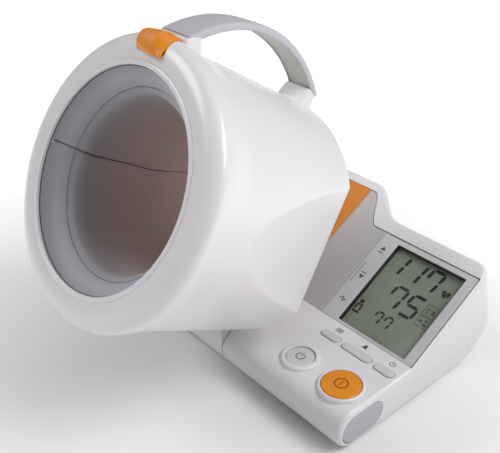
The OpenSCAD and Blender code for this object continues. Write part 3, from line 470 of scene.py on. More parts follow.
# ---------- cuff unit: barrel ----------
# Distances run from the mouth, along the cuff. The ring's front corner is a quarter of an ellipse.
FLAT_FRONT, FLAT_SLOPE = 42.0, tan(radians(10.5))
CORNER_R, CORNER_W = 12.0, 8.6
RING_END, WAIST_LEN, BODY_FROM, BODY_LEN, REAR_ROUND = 9.2, 26.4, 35.6, 98.4, 6
WAIST_STEPS, BODY_STEPS, WALL, CREASE = 12, 40, 3.2, 0.25
rear_arc = [(REAR_R - REAR_ROUND + REAR_ROUND * cos(radians(a)),
             CUFF_LEN - REAR_ROUND + REAR_ROUND * sin(radians(a))) for a in range(0, 90, 10)]
ring_front = [(TRIM_R, 1.0), (TRIM_R + 1.2, 0.75), (79.0, 0.6)]
ring_round = [(RING_R - CORNER_R + CORNER_R * cos(a), RING_END + CORNER_W * sin(a))
              for a in (radians(-90 + 90 * k / 16) for k in range(17))]
waist = [(BARREL_R + (RING_R - BARREL_R) * (1 - s_blend(k / WAIST_STEPS)), RING_END + WAIST_LEN * k / WAIST_STEPS)
         for k in range(1, WAIST_STEPS + 1)]
body = [(BARREL_R + (REAR_R - BARREL_R) * k / BODY_STEPS, BODY_FROM + BODY_LEN * k / BODY_STEPS)
        for k in range(1, BODY_STEPS)]
outer = ring_front + ring_round + waist + body + rear_arc
# The seat of the rear cover, the inner wall, and the way back to the trim
inner = [(81.0, 139.8), (81.0, 137.0), (70.0, 137.0), (70.0, 134.2), (82.6, 134.2)]
inner += [(REAR_R - WALL + 4 * k / 12, 130 - 94 * k / 12) for k in range(13)]
inner += [(89.4, 8.0), (86.0, 3.9), (TRIM_R, 3.9)]
barrel_profile = outer + inner
FIRST_REAR = len(outer) - len(rear_arc)


def barrel_reach(r, w, a, i):
    """Flattens the barrel's right flank, with a soft crease round the flat."""
    side = sin(a)
    if side < 0.2 or w < 20:
        return r, w
    inset = 0.0 if i < FIRST_REAR else max(0.0, REAR_R - r) if i < len(outer) + 4 else WALL
    flat = (BARREL_R - FLAT_SLOPE * (w - FLAT_FRONT) - inset) / side
    return smooth_min(r, flat, CREASE), w


# Room for the release button, as x and distance, and the height of its floor
NOTCH, NOTCH_FLOOR = (-13.8, -8, 10.9, 9.8), RING_R - 11.9
barrel = lathe("barrel_body", barrel_profile, CUFF, 480, reach=barrel_reach)
combine(barrel, prism("notch", rect(*NOTCH), NOTCH_FLOOR, RING_R + 30, CUFF))
dress(barrel, "barrel_white", "cuff_unit", ["barrel_shell"], 40, False)

# Knuckle in the nose of the base, with the web that carries the barrel
WEB_RISE, PIN_BORE_R = 21, 4.05
front = (HINGE_W - NOSE_R * ct, -HINGE_DROP - NOSE_R * st)
upper = (front[0] - WEB_RISE * st, front[1] + WEB_RISE * ct)
web_x0, web_x1 = KNUCKLE_X0 + CUFF_X, KNUCKLE_X1 + CUFF_X
knuckle = cylinder("hinge_knuckle", (HINGE_W, -HINGE_DROP), NOSE_R, web_x0, web_x1, CUFF_SIDE, 120)
web = prism("web", [front, upper, (126, upper[1] + 2), (126, -70), (139.2, -70), (139.2, -HINGE_DROP)],
            web_x0, web_x1, CUFF_SIDE)
combine(knuckle, web, "UNION")
bore = cylinder("bore", (HINGE_W, -HINGE_DROP), PIN_BORE_R, web_x0 - 1, web_x1 + 1, CUFF_SIDE, 48)
combine(knuckle, bore)
bevel(knuckle, 0.7, 3, 40)
dress(knuckle, "barrel_white", "cuff_unit")

# White roots of the handle
HANDLE_FRONT, HANDLE_REAR = (13.5, RING_R + 2), (CUFF_LEN - 0.5, REAR_R + 8)
ROOT_RIM = 0.7


def from_point(p, offsets):
    return [(p[0] + a, p[1] + b) for a, b in offsets]


front_root = from_point(HANDLE_FRONT, [
    (-3.4, -17), (-3.4, -0.8), (-2.6, 0.1), (0, 2.1), (3.4, 3.5), (6.2, 4.5), (7.6, 2.2), (9.6, -2.4),
    (11.4, -6.8), (12.6, -9.6), (14, -17)])
rear_root = from_point(HANDLE_REAR, [
    (-16.5, -16), (-14.6, -8.2), (-13.4, -5.6), (-11.2, -0.8), (-9.0, 4.0), (-0.5, 0.4), (-0.5, -16)])
for label, outline, width, edge_r in (("front", front_root, HANDLE_FRONT_W, 1.0),
                                      ("rear", rear_root, HANDLE_REAR_W, 2.4)):
    root = prism(f"handle_root_{label}", outline, -width / 2 - ROOT_RIM, width / 2 + ROOT_RIM, CUFF_SIDE)
    bevel(root, edge_r, 4, 48)
    dress(root, "barrel_white", "cuff_unit", (), 34)

# Lip round the mouth
lip_mid, lip_half = (MOUTH_R + TRIM_R) / 2, (TRIM_R - MOUTH_R) / 2
LIP_DEPTH, LIP_EDGE, LIP_CROWN = 6.0, 0.9, 0.6
lip_profile = [(MOUTH_R, LIP_DEPTH), (TRIM_R - 0.05, LIP_DEPTH)]
lip_profile += [(lip_mid + lip_half * cos(radians(a)), LIP_EDGE - LIP_CROWN * sin(radians(a)))
                for a in range(0, 181, 15)]
lip = lathe("mouth_lip", lip_profile, CUFF, 224)
dress(lip, "barrel_white", "cuff_unit", ["mouth_trim"], 60)


# ---------- cuff unit: fabric ----------
SEAM_A, SEAM_WIDTH, SEAM_DEPTH = 1.5 * pi + 0.03, 0.02, 0.7
# A swelling of the fabric at one side, as height, angle, spread, distance and length
PUFF, PUFF_A, PUFF_SPREAD, PUFF_W, PUFF_LEN = 3.2, radians(52), 0.7, 26, 10


def fabric_reach(depth, first, last):
    """Soft puckers that fade towards both edges of the fabric."""
    def reach(r, w, a, i):
        t = min(1.0, max(0.0, (w - first) / (last - first)))
        fade = sin(pi * t) ** 0.7
        ripple = (sin(9 * a + 0.8 * sin(3 * a)) * 0.45 + sin(23 * a + 1.7) * 0.2
                  + sin(5 * a + 4.1) * 0.5)
        seam = SEAM_DEPTH * exp(-((a - SEAM_A) / SEAM_WIDTH) ** 2) if 0 < t < 1 else 0.0
        puff = 0.0
        if i < len(liner_in):
            puff = PUFF * exp(-((a - PUFF_A) / PUFF_SPREAD) ** 2) * exp(-((w - PUFF_W) / PUFF_LEN) ** 2)
        return r + depth * fade * ripple + seam - puff, w
    return reach


# The funnel behind the mouth and the tube behind it, from the front, and the way back outside
liner_in = [(70.8, 2.8), (70.7, 4.4), (70.1, 6.4), (68.9, 8.8), (67.1, 11.2), (64.9, 13.5), (62.6, 15.6),
            (60.6, 17.4), (59.0, 19.0), (57.9, 20.2), (57.4, 21.2), (57.4, 22.2), (57.0, 23.4), (56.4, 25.4),
            (55.9, 28.6), (55.5, 33.0)]
liner_in += [(55.1, 40.0 + 8 * k) for k in range(12)] + [(55.6, 136.0), (56.6, 139.0)]
liner_out = [(58.0, 139.0), (56.8, 132.0), (56.9, 32.0), (58.4, 24.4), (60.6, 20.6), (63.4, 17.4),
             (66.2, 14.2), (68.6, 11.0), (70.4, 8.0), (71.3, 5.4), (71.3, 2.8)]
liner = lathe("fabric_liner", liner_in + liner_out, CUFF, 288, reach=fabric_reach(0.4, 4, 136))
dress(liner, "cuff_fabric", "cuff_unit", ["cuff_liner"], 70, False)


def inner_radius(w):
    """Inner radius of the fabric at a distance from the mouth."""
    return float(np.interp(w, [p[1] for p in liner_in], [p[0] for p in liner_in]))


def tube_faces(steps, n):
    """Faces over rings of n points each, closed at both ends."""
    faces = []
    for k in range(steps):
        for i in range(n):
            j = (i + 1) % n
            faces.append([k * n + i, k * n + j, (k + 1) * n + j, (k + 1) * n + i])
    return faces + [list(range(n))[::-1], list(range(steps * n, steps * n + n))]


def seam_cord(name, w0, w1, thick, steps=110, sides=8):
    """A sewn seam along the fabric: a thin cord, half sunk, that wanders a little."""
    bend_from, bend, sunk = 70, 4.7e-5, 0.2
    points = []
    for k in range(steps + 1):
        w = w0 + (w1 - w0) * k / steps
        a = SEAM_A + 0.005 * sin(w / 7.0) + 0.002 * sin(w / 2.6) + bend * max(0.0, w - bend_from) ** 2
        r = inner_radius(w) + sunk
        for i in range(sides):
            b = 2 * pi * i / sides
            rr, side = r + thick * cos(b), thick * sin(b)
            points.append((rr * sin(a) + side * cos(a), w, rr * cos(a) - side * sin(a)))
    cord = mesh_object(name, points, tube_faces(steps, sides), CUFF)
    dress(cord, "cuff_fabric", "cuff_unit", (), 70, False, SEAM_THREAD_AND_GAP_SHADE)


seam_cord("fabric_seam", 3.6, 134.0, 0.32)


def ring_tube(name, r, w, thick, material, count=220, dash=None):
    """A cord round the cuff axis: a thread, and also a dark cord painted as shade in a gap; dash gives stitches per
    turn.
    """
    profile = [(r + thick * cos(pi * k / 4), w + thick * sin(pi * k / 4)) for k in range(8)]

    def reach(rr, ww, a, i):
        swell = 1.0 if not dash else 0.1 + 0.9 * abs(sin(dash * a / 2))
        return r + (rr - r) * swell, w + (ww - w) * swell
    obj = lathe(name, profile, CUFF, count, reach=reach)
    dress(obj, "cuff_fabric", "cuff_unit", (), 70, False, material)


ring_tube("funnel_stitch", 61.0, 16.6, 0.42, THREAD, 960, 120)
# A dark cord painted as the shade in the gap between the lip and the fabric
ring_tube("fabric_gap_shade", 70.9, 2.7, 0.4, SEAM_THREAD_AND_GAP_SHADE)


# ---------- cuff unit: handle ----------
SPAN, PULL_SHARE = HANDLE_REAR[0] - HANDLE_FRONT[0], 0.285
PULL_H = HANDLE_TOP + (HANDLE_TOP - (HANDLE_FRONT[1] + HANDLE_REAR[1]) / 2) / 3
ENDS = [HANDLE_FRONT, HANDLE_REAR]
PULLS = [(HANDLE_FRONT[0] + PULL_SHARE * SPAN, PULL_H), (HANDLE_REAR[0] - PULL_SHARE * SPAN, PULL_H)]


def bezier(t):
    k = ((1 - t) ** 3, 3 * t * (1 - t) ** 2, 3 * t * t * (1 - t), t ** 3)
    pts = (ENDS[0], PULLS[0], PULLS[1], ENDS[1])
    return Vector((sum(a * p[0] for a, p in zip(k, pts)), sum(a * p[1] for a, p in zip(k, pts))))


def strap(name, section, t0, t1, steps=72):
    """Sweeps a cross-section, a function of the place, along the handle's arch."""
    points, n = [], 0
    for k in range(steps + 1):
        t = t0 + (t1 - t0) * k / steps
        p, d = bezier(t), bezier(min(1, t + 0.004)) - bezier(max(0, t - 0.004))
        d.normalize()
        normal = Vector((-d.y, d.x))
        ring = section(p)
        n = len(ring)
        for x, h in ring:
            points.append((x, p.x + normal.x * h, p.y + normal.y * h))
    return mesh_object(name, points, tube_faces(steps, n), CUFF)


def handle_width(p):
    t = min(1.0, max(0.0, (p.x - 20) / 100))
    return HANDLE_FRONT_W + (HANDLE_REAR_W - HANDLE_FRONT_W) * t


def grip_section(p):
    """Upper part: a faintly crowned top, upright sides and a rim round the lining."""
    half, h = handle_width(p) / 2, HANDLE_T / 2
    side = [(half - 0.3, -h), (half, -h + 0.35), (half, h - 1.5), (half - 0.35, h - 0.6),
            (half - 1.1, h - 0.12), (half - 2.2, h + 0.05)]
    crown = [(half * k, h + 0.3 - 0.25 * k * k) for k in (0.6, 0.3, 0.0)]
    right = side + crown
    left = [(-x, y) for x, y in right[-2::-1]]
    return right + left + [(-half + 1.5, -h), (-half + 1.8, -h + 1.0), (half - 1.8, -h + 1.0), (half - 1.5, -h)]


def core_section(p):
    """Lower part: a thin lining inside the grip's rim."""
    half, low = handle_width(p) / 2 - 1.9, -HANDLE_T / 2
    return [(half, low + 1.1), (-half, low + 1.1), (-half, low + 0.8), (-half + 1, low + 0.5),
            (0, low + 0.35), (half - 1, low + 0.5), (half, low + 0.8)]


grip = strap("handle_strap", grip_section, 0.0, 1.0)
dress(grip, "handle_gray", "cuff_unit", ["handle_grip"], 50, False)
lining = strap("handle_lining", core_section, 0.02, 0.98)
dress(lining, "handle_under", "cuff_unit", ["handle_core"], 50, False)

# ---------- release button ----------
# Runs over the ring's front corner, as (distance from the mouth, height above the cuff axis), and
# the run of the cap's back
CAP_LEFT = [(-0.1, 80.3), (-1.7, 80.8), (-2.6, 82.4), (-3.0, 84.6), (-3.0, 87.0), (-2.4, 89.2),
            (-1.0, 91.2), (1.6, 92.8), (5.2, 93.6), (9.2, 93.7)]
CAP_RIDGE = [(-0.1, 78.7), (-2.6, 78.9), (-3.5, 80.6), (-3.9, 83.4), (-3.9, 86.6), (-3.3, 89.6),
             (-1.8, 92.2), (1.2, 94.3), (5.2, 95.0), (9.2, 94.8)]
CAP_RIGHT = [(-0.1, 78.8), (-2.6, 79.0), (-2.1, 80.9), (-1.1, 83.0), (0.1, 85.3), (1.5, 87.6),
             (3.2, 90.1), (5.0, 92.2), (7.0, 93.4), (9.2, 93.5)]
CAP_BACK = [(-0.1, 79.3), (-0.1, 80.0), (-0.1, 82.0), (0.6, 84.0), (2.4, 85.8), (4.0, 87.4),
            (5.6, 89.4), (7.0, 90.6), (8.2, 91.2), (9.2, 91.4)]
CAP_X0, RIDGE_X, CAP_X1 = -13.4, 3.2, 10.5


def cap_point(i, x, on_back):
    """A point of the cap: i along its runs, x across."""
    if on_back:
        return (x, *CAP_BACK[i])
    if x < RIDGE_X:
        t = (x - CAP_X0) / (RIDGE_X - CAP_X0)
        low, high, t = CAP_LEFT[i], CAP_RIDGE[i], sin(pi / 2 * t) ** 0.75
    else:
        low, high, t = CAP_RIDGE[i], CAP_RIGHT[i], (x - RIDGE_X) / (CAP_X1 - RIDGE_X)
    return (x, low[0] + (high[0] - low[0]) * t, low[1] + (high[1] - low[1]) * t)


def rim_faces(rows, wide):
    """Faces between the edges of two grids of rows by wide points, which follow each other."""
    n = rows * wide
    edge = list(range(wide)) + [i * wide + wide - 1 for i in range(1, rows)]
    edge += [n - wide + j for j in range(wide - 2, -1, -1)] + [i * wide for i in range(rows - 2, 0, -1)]
    return [[b, a, n + a, n + b] for a, b in zip(edge, edge[1:] + edge[:1])]


xs = [CAP_X0 + (RIDGE_X - CAP_X0) * (1 - cos(pi / 2 * k / 12)) for k in range(12)]
xs += [RIDGE_X + (CAP_X1 - RIDGE_X) * k / 6 for k in range(7)]
rows = len(CAP_RIDGE)
skin = [cap_point(i, x, False) for i in range(rows) for x in xs]
back = [cap_point(i, x, True) for i in range(rows) for x in xs]
wide = len(xs)
cap_faces = []
for i in range(rows - 1):
    for j in range(wide - 1):
        a = i * wide + j
        cap_faces.append([a, a + 1, a + wide + 1, a + wide])
        cap_faces.append([len(skin) + a, len(skin) + a + wide, len(skin) + a + wide + 1, len(skin) + a + 1])
cap_faces += rim_faces(rows, wide)
release = mesh_object("release_cap", skin + back, cap_faces, CUFF)
bevel(release, 0.4, 2, 50)
dress(release, "button_orange", "release_key", ["release_button"], 24, False)


# ---------- base: case ----------
def meet(p, d, q, e):
    t = ((q[0] - p[0]) * e[1] - (q[1] - p[1]) * e[0]) / (d[0] * e[1] - d[1] * e[0])
    return (p[0] + t * d[0], p[1] + t * d[1])


def case_outline():
    cw, sw = cs(SWEEP_A)
    sweep = [(FLAT_END + SWEEP_R * sin(a), FOOT_H + SWEEP_R * (1 - cos(a)))
             for a in (SWEEP_A * k / 14 for k in range(15))]
    rear_p = (FOLD_Y + LONG_LEN * c30, DECK_Z + LONG_LEN * s30)
    slope_p = (FOLD_Y, DECK_Z)
    nose = [(NOSE_Y + NOSE_R * cos(a), NOSE_Z + NOSE_R * sin(a))
            for a in (radians(90 + 180 * k / 44) for k in range(45))]
    return sweep + [meet(sweep[-1], (cw, sw), rear_p, (-sr, cr)), rear_p, slope_p] + nose


def rear_outline():
    share = cos(HEAD_SLOPE - REAR_LEAN)
    low, high, r, w = HEAD_LEN * share, LONG_LEN * share, 12.0, HALF_W
    right, left, steps, below = HALF_W - 87, HALF_W - 127, 22, -150
    out = [(w, below)] + arc(w - r, low - r, r, 0, 90, 10)
    out += [(right + (left - right) * k / steps, low + (high - low) * s_blend(k / steps)) for k in range(steps + 1)]
    return out + arc(-w + r, high - r, r, 90, 180, 10) + [(-w, below)]


S_STEPS, PANEL_ROUND = 22, 8
DISPLAY_X1, DISPLAY_W = HALF_W - 2.4, 87
DISPLAY_X0, DISPLAY_S0, DISPLAY_S1 = DISPLAY_X1 - DISPLAY_W, 0.4, 83.4
PANEL_X0, PANEL_TOP = -HALF_W + 9, LONG_LEN - 9
INNER_RIGHT, INNER_LEFT = HALF_W - 101, HALF_W - 124
WINDOW_X1, WINDOW_W, WINDOW_L = DISPLAY_X1 - 8.5, 63.0, 75.0
WINDOW_X0, WINDOW_S0 = WINDOW_X1 - WINDOW_W, DISPLAY_S0 + 2.6


def recess_outline(inset=0.0):
    out = [(DISPLAY_X1 - inset, DISPLAY_S0 + inset), (DISPLAY_X1 - inset, DISPLAY_S1 - inset)]
    out += [(INNER_RIGHT + (INNER_LEFT - INNER_RIGHT) * k / S_STEPS - inset,
             DISPLAY_S1 + (PANEL_TOP - DISPLAY_S1) * s_blend(k / S_STEPS) - inset) for k in range(S_STEPS + 1)]
    out += arc(PANEL_X0 + inset + PANEL_ROUND, PANEL_TOP - inset - PANEL_ROUND, PANEL_ROUND, 90, 180, 8)
    return out + [(PANEL_X0 + inset, DISPLAY_S0 + inset)]


def window_rect(grow, r=0.0):
    """The window's outline, larger by grow on each side."""
    return rect(WINDOW_X0 - grow, WINDOW_S0 - grow, WINDOW_X1 + grow, WINDOW_S0 + WINDOW_L + grow, r)


START, POWER = (HALF_W - 22.5, NOSE_Y + 10), (HALF_W - 22.5 - 39, NOSE_Y + 10)
START_R, POWER_R, KEY_CLEAR = 14.0, 10.4, 0.3
OVAL_Y, OVAL_W, OVAL_CLEAR, OVAL_GAP = FOLD_Y - 15.5, 7.6, 0.45, 3.2
# Each oval key's node, its body, its middle and its length
OVALS = []
oval_x = HALF_W - 72.5
for oval_name, key_body, oval_len in (("left_key", "memory_key", 17.0), ("middle_key", "user_key", 27.0),
                                      ("right_key", "clock_key", 17.0)):
    OVALS.append((oval_name, key_body, oval_x + oval_len / 2, oval_len))
    oval_x += oval_len + OVAL_GAP


def stadium(cx, cy, length, width, steps=16):
    r, d = width / 2, (length - width) / 2
    return arc(cx + d, cy, r, -90, 90, steps) + arc(cx - d, cy, r, 90, 270, steps)


CAP_R, CAP_REACH, CAP_DEPTH = 11.2, 17.0, 1.4


def end_oval(r):
    """Outline of an end cap on the nose."""
    return arc(NOSE_Y + CAP_REACH, NOSE_Z, r, -90, 90, 24) + arc(NOSE_Y, NOSE_Z, r, 90, 270, 24)


BAY_X0, BAY_Y0, BAY_X1, BAY_Y1 = -68.0, FOLD_Y + 5.5, 38.0, FOLD_Y + 58.5
FOOT_X, FOOT_R, SCREW_X, SCREW_R, INLET_R, WELL_LOW, WELL_HIGH = 102, 6.0, 105, 3.3, 5.1, -9, 8
case = prism("case", case_outline(), -HALF_W, HALF_W, SIDE)
combine(case, prism("rear", rear_outline(), -300, 300, REAR), "INTERSECT")
bevel(case, 3.6, 5, 32)
pocket = (KNUCKLE_X0 - KNUCKLE_GAP, KNUCKLE_X1 + KNUCKLE_GAP, SIDE)
cutters = [prism("recess", recess_outline(), -RECESS_D, 30, SLOPE),
           prism("well", window_rect(2), -12, 5, SLOPE),
           cylinder("pocket", (NOSE_Y, NOSE_Z), NOSE_R + KNUCKLE_GAP, *pocket, 120),
           prism("mouth", rect(NOSE_Y - 30, -5, NOSE_Y, 40), *pocket),
           cylinder("start_hole", START, START_R + KEY_CLEAR, WELL_LOW, WELL_HIGH, DECK),
           cylinder("power_hole", POWER, POWER_R + KEY_CLEAR, WELL_LOW, WELL_HIGH, DECK),
           prism("bay", rect(BAY_X0, BAY_Y0, BAY_X1, BAY_Y1), -2, 30.1, WORLD),
           cylinder("inlet", (FOLD_Y + 8, FOOT_H + 9), INLET_R, -HALF_W - 2, -HALF_W + 14, SIDE, 48)]
for oval_name, _, x, length in OVALS:
    hole = stadium(x, OVAL_Y, length + 2 * OVAL_CLEAR, OVAL_W + 2 * OVAL_CLEAR)
    cutters.append(prism(f"{oval_name}_hole", hole, WELL_LOW, WELL_HIGH, DECK))
for x in (-FOOT_X, FOOT_X):
    cutters += [cylinder("foot", (x, y), FOOT_R, -1, FOOT_H + 1, WORLD, 48) for y in (NOSE_Y + 10, FLAT_END - 8)]
for x in (-SCREW_X, SCREW_X):
    cutters += [cylinder("screw", (x, y), SCREW_R, -1, 6.5, WORLD, 32) for y in (NOSE_Y + 34, FLAT_END - 28)]
cutters += [prism("cap_r", end_oval(CAP_R + 0.15), HALF_W - CAP_DEPTH, HALF_W + 2, SIDE),
            prism("cap_l", end_oval(CAP_R + 0.15), -HALF_W - 2, -HALF_W + CAP_DEPTH, SIDE)]
for cutter in cutters:
    combine(case, cutter)
lower = placed(case.copy())
lower.data = case.data.copy()
lower.name = "lower_shell"
case.name = "upper_shell"
BLOCK, SPLIT_GAP = rect(-200, -200, 200, 300), 0.07
combine(case, prism("below", BLOCK, -10, SPLIT_Z + SPLIT_GAP, WORLD))
combine(lower, prism("above", BLOCK, SPLIT_Z - SPLIT_GAP, 300, WORLD))
for shell, stands in ((case, "upper_case"), (lower, "lower_case")):
    bevel(shell, 0.3, 2, 42)
    dress(shell, "casing_white", "base", [stands], 40)


# ---------- base: collars and keys ----------
def turned(name, centre, profile, body, slot, stands_for=(), count=96):
    """A profile of (radius, height) turned round an upright line through the deck. It starts and
    ends on that line, or is closed."""
    n, on_axis = len(profile), profile[0][0] == 0
    points, faces = [], []
    for j in range(count):
        a = 2 * pi * j / count
        for r, h in profile:
            points.append((centre[0] + r * cos(a), centre[1] + r * sin(a), h))
    for j in range(count):
        k = (j + 1) % count
        for i in range(n - 1 if on_axis else n):
            p = (i + 1) % n
            faces.append([j * n + i, k * n + i, k * n + p, j * n + p])
    obj = mesh_object(name, points, faces, DECK)
    bm = bmesh.new()
    bm.from_mesh(obj.data)
    bmesh.ops.remove_doubles(bm, verts=bm.verts, dist=1e-6)
    bmesh.ops.recalc_face_normals(bm, faces=bm.faces)
    bm.to_mesh(obj.data)
    bm.free()
    dress(obj, slot, body, stands_for, 40)


def collar_profile(r, width, height):
    """A raised ring with a steep inner wall and a soft outer shoulder that runs out on the deck."""
    sunk, foot = -2.0, (r + width + 0.25, -0.1)
    wall = [(r, sunk), (r, height - 0.5), (r + 0.25, height - 0.12), (r + 0.6, height)]
    shoulder = [(r + width * share, height - drop)
                for share, drop in ((0.5, 0.05), (0.78, 0.45), (0.93, 1.1), (1, 1.9))]
    return wall + shoulder + [foot, (r + width, sunk)]


turned("start_collar", START, collar_profile(START_R + KEY_CLEAR, 2.3, 2.4), "base", "casing_white")
turned("power_collar", POWER, collar_profile(POWER_R + KEY_CLEAR, 3.8, 2.4), "base", "casing_white")


KEY_LOW = -5.0


def cap_profile(r, top, dome=0.5, edge=1.0):
    return [(0, KEY_LOW), (r, KEY_LOW), (r, top - edge)] + arc(r - edge, top - edge, edge, 20, 90, 4) + [
        (r * 0.7, top + dome * 0.45), (r * 0.4, top + dome * 0.8), (r * 0.15, top + dome * 0.97), (0, top + dome)]


turned("start_cap", START, cap_profile(START_R, 2.5, 0.5, 1.3), "start_key", "button_orange", ["start_button"])
turned("power_cap", POWER, cap_profile(POWER_R, 1.4, 0.4), "power_key", "key_gray", ["power_button"])
for oval_name, key_body, x, length in OVALS:
    key = prism(f"{oval_name}_cap", stadium(x, OVAL_Y, length, OVAL_W), KEY_LOW, 1.0, DECK)
    bevel(key, 0.9, 4, 50)
    dress(key, "key_gray", key_body, [oval_name])


# ---------- marks ----------
def plate(name, outlines, low, high, matrix, material, body):
    """Several thin outlines in one mesh."""
    made = [prism(f"{name}_{i}", o, low, high, matrix) for i, o in enumerate(outlines)]
    obj = join(made[0], *made[1:])
    obj.name = name
    dress(obj, None, body, (), 30, False, material)


def bar(x0, y0, x1, y1, width):
    """A straight stroke with cut ends."""
    d = Vector((x1 - x0, y1 - y0)).normalized() * width / 2
    return [(x0 + d.y, y0 - d.x), (x1 + d.y, y1 - d.x), (x1 - d.y, y1 + d.x), (x0 - d.y, y0 + d.x)]


def strokes_on_arc(cx, cy, r, a0, a1, width, steps=18):
    pts = arc(cx, cy, r, a0, a1, steps)
    return [bar(*p, *q, width) for p, q in zip(pts, pts[1:])]


x, y = START
symbol = strokes_on_arc(x, y, 4.6, 0, 360, 0.9, 40) + [bar(x, y - 2.6, x, y + 2.6, 0.9)]
plate("start_symbol", symbol, 2.75, 3.02, DECK, START_MARK, "start_key")
x, y = POWER
symbol = strokes_on_arc(x, y, 3.2, 115, 425, 0.75, 30) + [bar(x, y + 0.8, x, y + 4.1, 0.75)]
plate("power_symbol", symbol, 1.6, 1.82, DECK, INK, "power_key")
PRINT = (-0.05, 0.06)
y = OVAL_Y + 7.3
mem, usr, clk = (x for _, _, x, _ in OVALS)
lines = [rect(mem - 3, y + 1.6 * k, mem + 3, y + 1.6 * k + 0.8) for k in range(3)]
plate("memory_mark", lines, *PRINT, DECK, INK, "base")
bust = [arc(usr, y + 2.9, 1.35, 0, 345, 18), [(usr + 2.4, y)] + arc(usr, y, 2.3, 0, 180, 14)]
plate("user_mark", bust, *PRINT, DECK, INK, "base")
hands = [bar(clk, y + 2, clk, y + 3.4, 0.5), bar(clk, y + 2, clk + 1.1, y + 2, 0.5)]
plate("clock_mark", strokes_on_arc(clk, y + 2.0, 2.1, 0, 360, 0.55, 24) + hands, *PRINT, DECK, INK, "base")

# ---------- head: panel, pad, display ----------
FIT, PANEL_T = 0.3, 1.8
panel_edge = [p for p in recess_outline(FIT) if p[0] < DISPLAY_X0 - FIT]
panel_outline = [(DISPLAY_X0 - FIT, DISPLAY_S0 + FIT), (DISPLAY_X0 - FIT, DISPLAY_S1 - FIT)] + panel_edge
panel = prism("rest_panel", panel_outline, -RECESS_D, -RECESS_D + PANEL_T, SLOPE)
bevel(panel, 0.4, 2, 40)
dress(panel, "panel_gray", "base", ["elbow_panel"])

PAD_X1, PAD_W, PAD_LEN = HALF_W - 128.5, 86, 100
PAD_X0, PAD_S1 = PAD_X1 - PAD_W, PANEL_TOP - 0.8
PAD_S0, PAD_T, PAD_EDGE, PAD_DISH, DISH_RUN = PAD_S1 - PAD_LEN, 3.2, 0.25, 1.4, 14


def cushion(name, x0, s0, x1, s1, base, thick, dish, roll=2.2, nx=64, ns=72):
    """A closed pad with rolled edges, soft corners and a top dished across for the arm."""
    cx, cy, hx, hy = (x0 + x1) / 2, (s0 + s1) / 2, (x1 - x0) / 2, (s1 - s0) / 2
    top, low = [], []
    for j in range(ns + 1):
        for i in range(nx + 1):
            u, v = 2 * s_blend(i / nx) - 1, 2 * s_blend(j / ns) - 1
            x, y = cx + hx * u, cy + hy * v
            ex, ey = hx * (1 - abs(u)), hy * (1 - abs(v))
            edge = min(ex, ey)
            if ex <= roll and ey <= roll:
                edge = roll - hypot(roll - ex, roll - ey)
            k = min(1.0, max(0.0, edge / roll))
            rise = sqrt(max(0.0, 1 - (1 - k) ** 2))
            hollow = dish * (1 - u * u) * min(1.0, ey / DISH_RUN)
            hollow += 0.12 * sin(7 * v + 2 * u) * (1 - u * u) * (1 - v * v)
            top.append((x, y, base + PAD_EDGE + (thick - PAD_EDGE - hollow) * rise))
            low.append((x, y, base))
    n, row = len(top), nx + 1
    faces = []
    for j in range(ns):
        for i in range(nx):
            a = j * row + i
            faces.append([a, a + 1, a + row + 1, a + row])
            faces.append([n + a, n + a + row, n + a + row + 1, n + a + 1])
    return mesh_object(name, top + low, faces + rim_faces(ns + 1, row), SLOPE)


pad = cushion("rest_pad", PAD_X0, PAD_S0, PAD_X1, PAD_S1, -RECESS_D + PANEL_T, PAD_T, PAD_DISH)
dress(pad, "pad_orange", "base", ["elbow_pad"], 60, False)

# Heights from the slope's surface. The bezel stands back by 1 mm at its right and its top.
BEZEL_TOP, BEZEL_BACK, RIM_TOP, GLASS_H, PANE_LOW, PANE_TOP = -0.15, 1.0, -0.45, -4.7, -1.5, -0.7
outline = rect(DISPLAY_X0, DISPLAY_S0 + FIT, DISPLAY_X1 - BEZEL_BACK, DISPLAY_S1 - BEZEL_BACK, 1.0)
bezel = prism("display_bezel", outline, -RECESS_D, BEZEL_TOP, SLOPE)
combine(bezel, prism("opening", window_rect(0, 0.8), -5, 5, SLOPE))
bevel(bezel, 0.35, 2, 40)
dress(bezel, "frame_silver", "base", ["display_frame"])

surround = prism("display_surround", window_rect(1.5), -6.5, -RECESS_D, SLOPE)
combine(surround, prism("rim", window_rect(0, 0.8), -RECESS_D - 1, RIM_TOP, SLOPE), "UNION")
combine(surround, prism("opening", window_rect(-0.3, 0.6), GLASS_H - 0.2, 5, SLOPE))
dress(surround, "black_plastic", "base", material=BLACK_WALLS_AND_GROOVE_SHADE)
# A black sheet under the bezel's edge: painted shade in the groove round the display frame
outline = rect(DISPLAY_X0 + 1, DISPLAY_S0 + 0.5, DISPLAY_X1 - 0.05, DISPLAY_S1 - 0.05)
groove_shade_sheet = prism("display_groove_shade", outline, -RECESS_D, -RECESS_D + 0.5, SLOPE)
outline = rect(WINDOW_X0 - 3, WINDOW_S0 - 1, WINDOW_X1 + 3, WINDOW_S0 + WINDOW_L + 1)
combine(groove_shade_sheet, prism("opening", outline, -5, 5, SLOPE))
dress(groove_shade_sheet, "black_plastic", "base", material=BLACK_WALLS_AND_GROOVE_SHADE)
display = prism("display_face", window_rect(-0.4), GLASS_H - 0.5, GLASS_H, SLOPE)
dress(display, "display_glass", "base", ["display_module"])
pane = prism("display_pane", window_rect(-0.35, 0.6), PANE_LOW, PANE_TOP, SLOPE)
bevel(pane, 0.15, 2, 40)
dress(pane, "window_clear", "base", ["display_window"])

SEGMENTS = {"1": "bc", "7": "abcf", "5": "acdfg"}
SLANT = 0.14


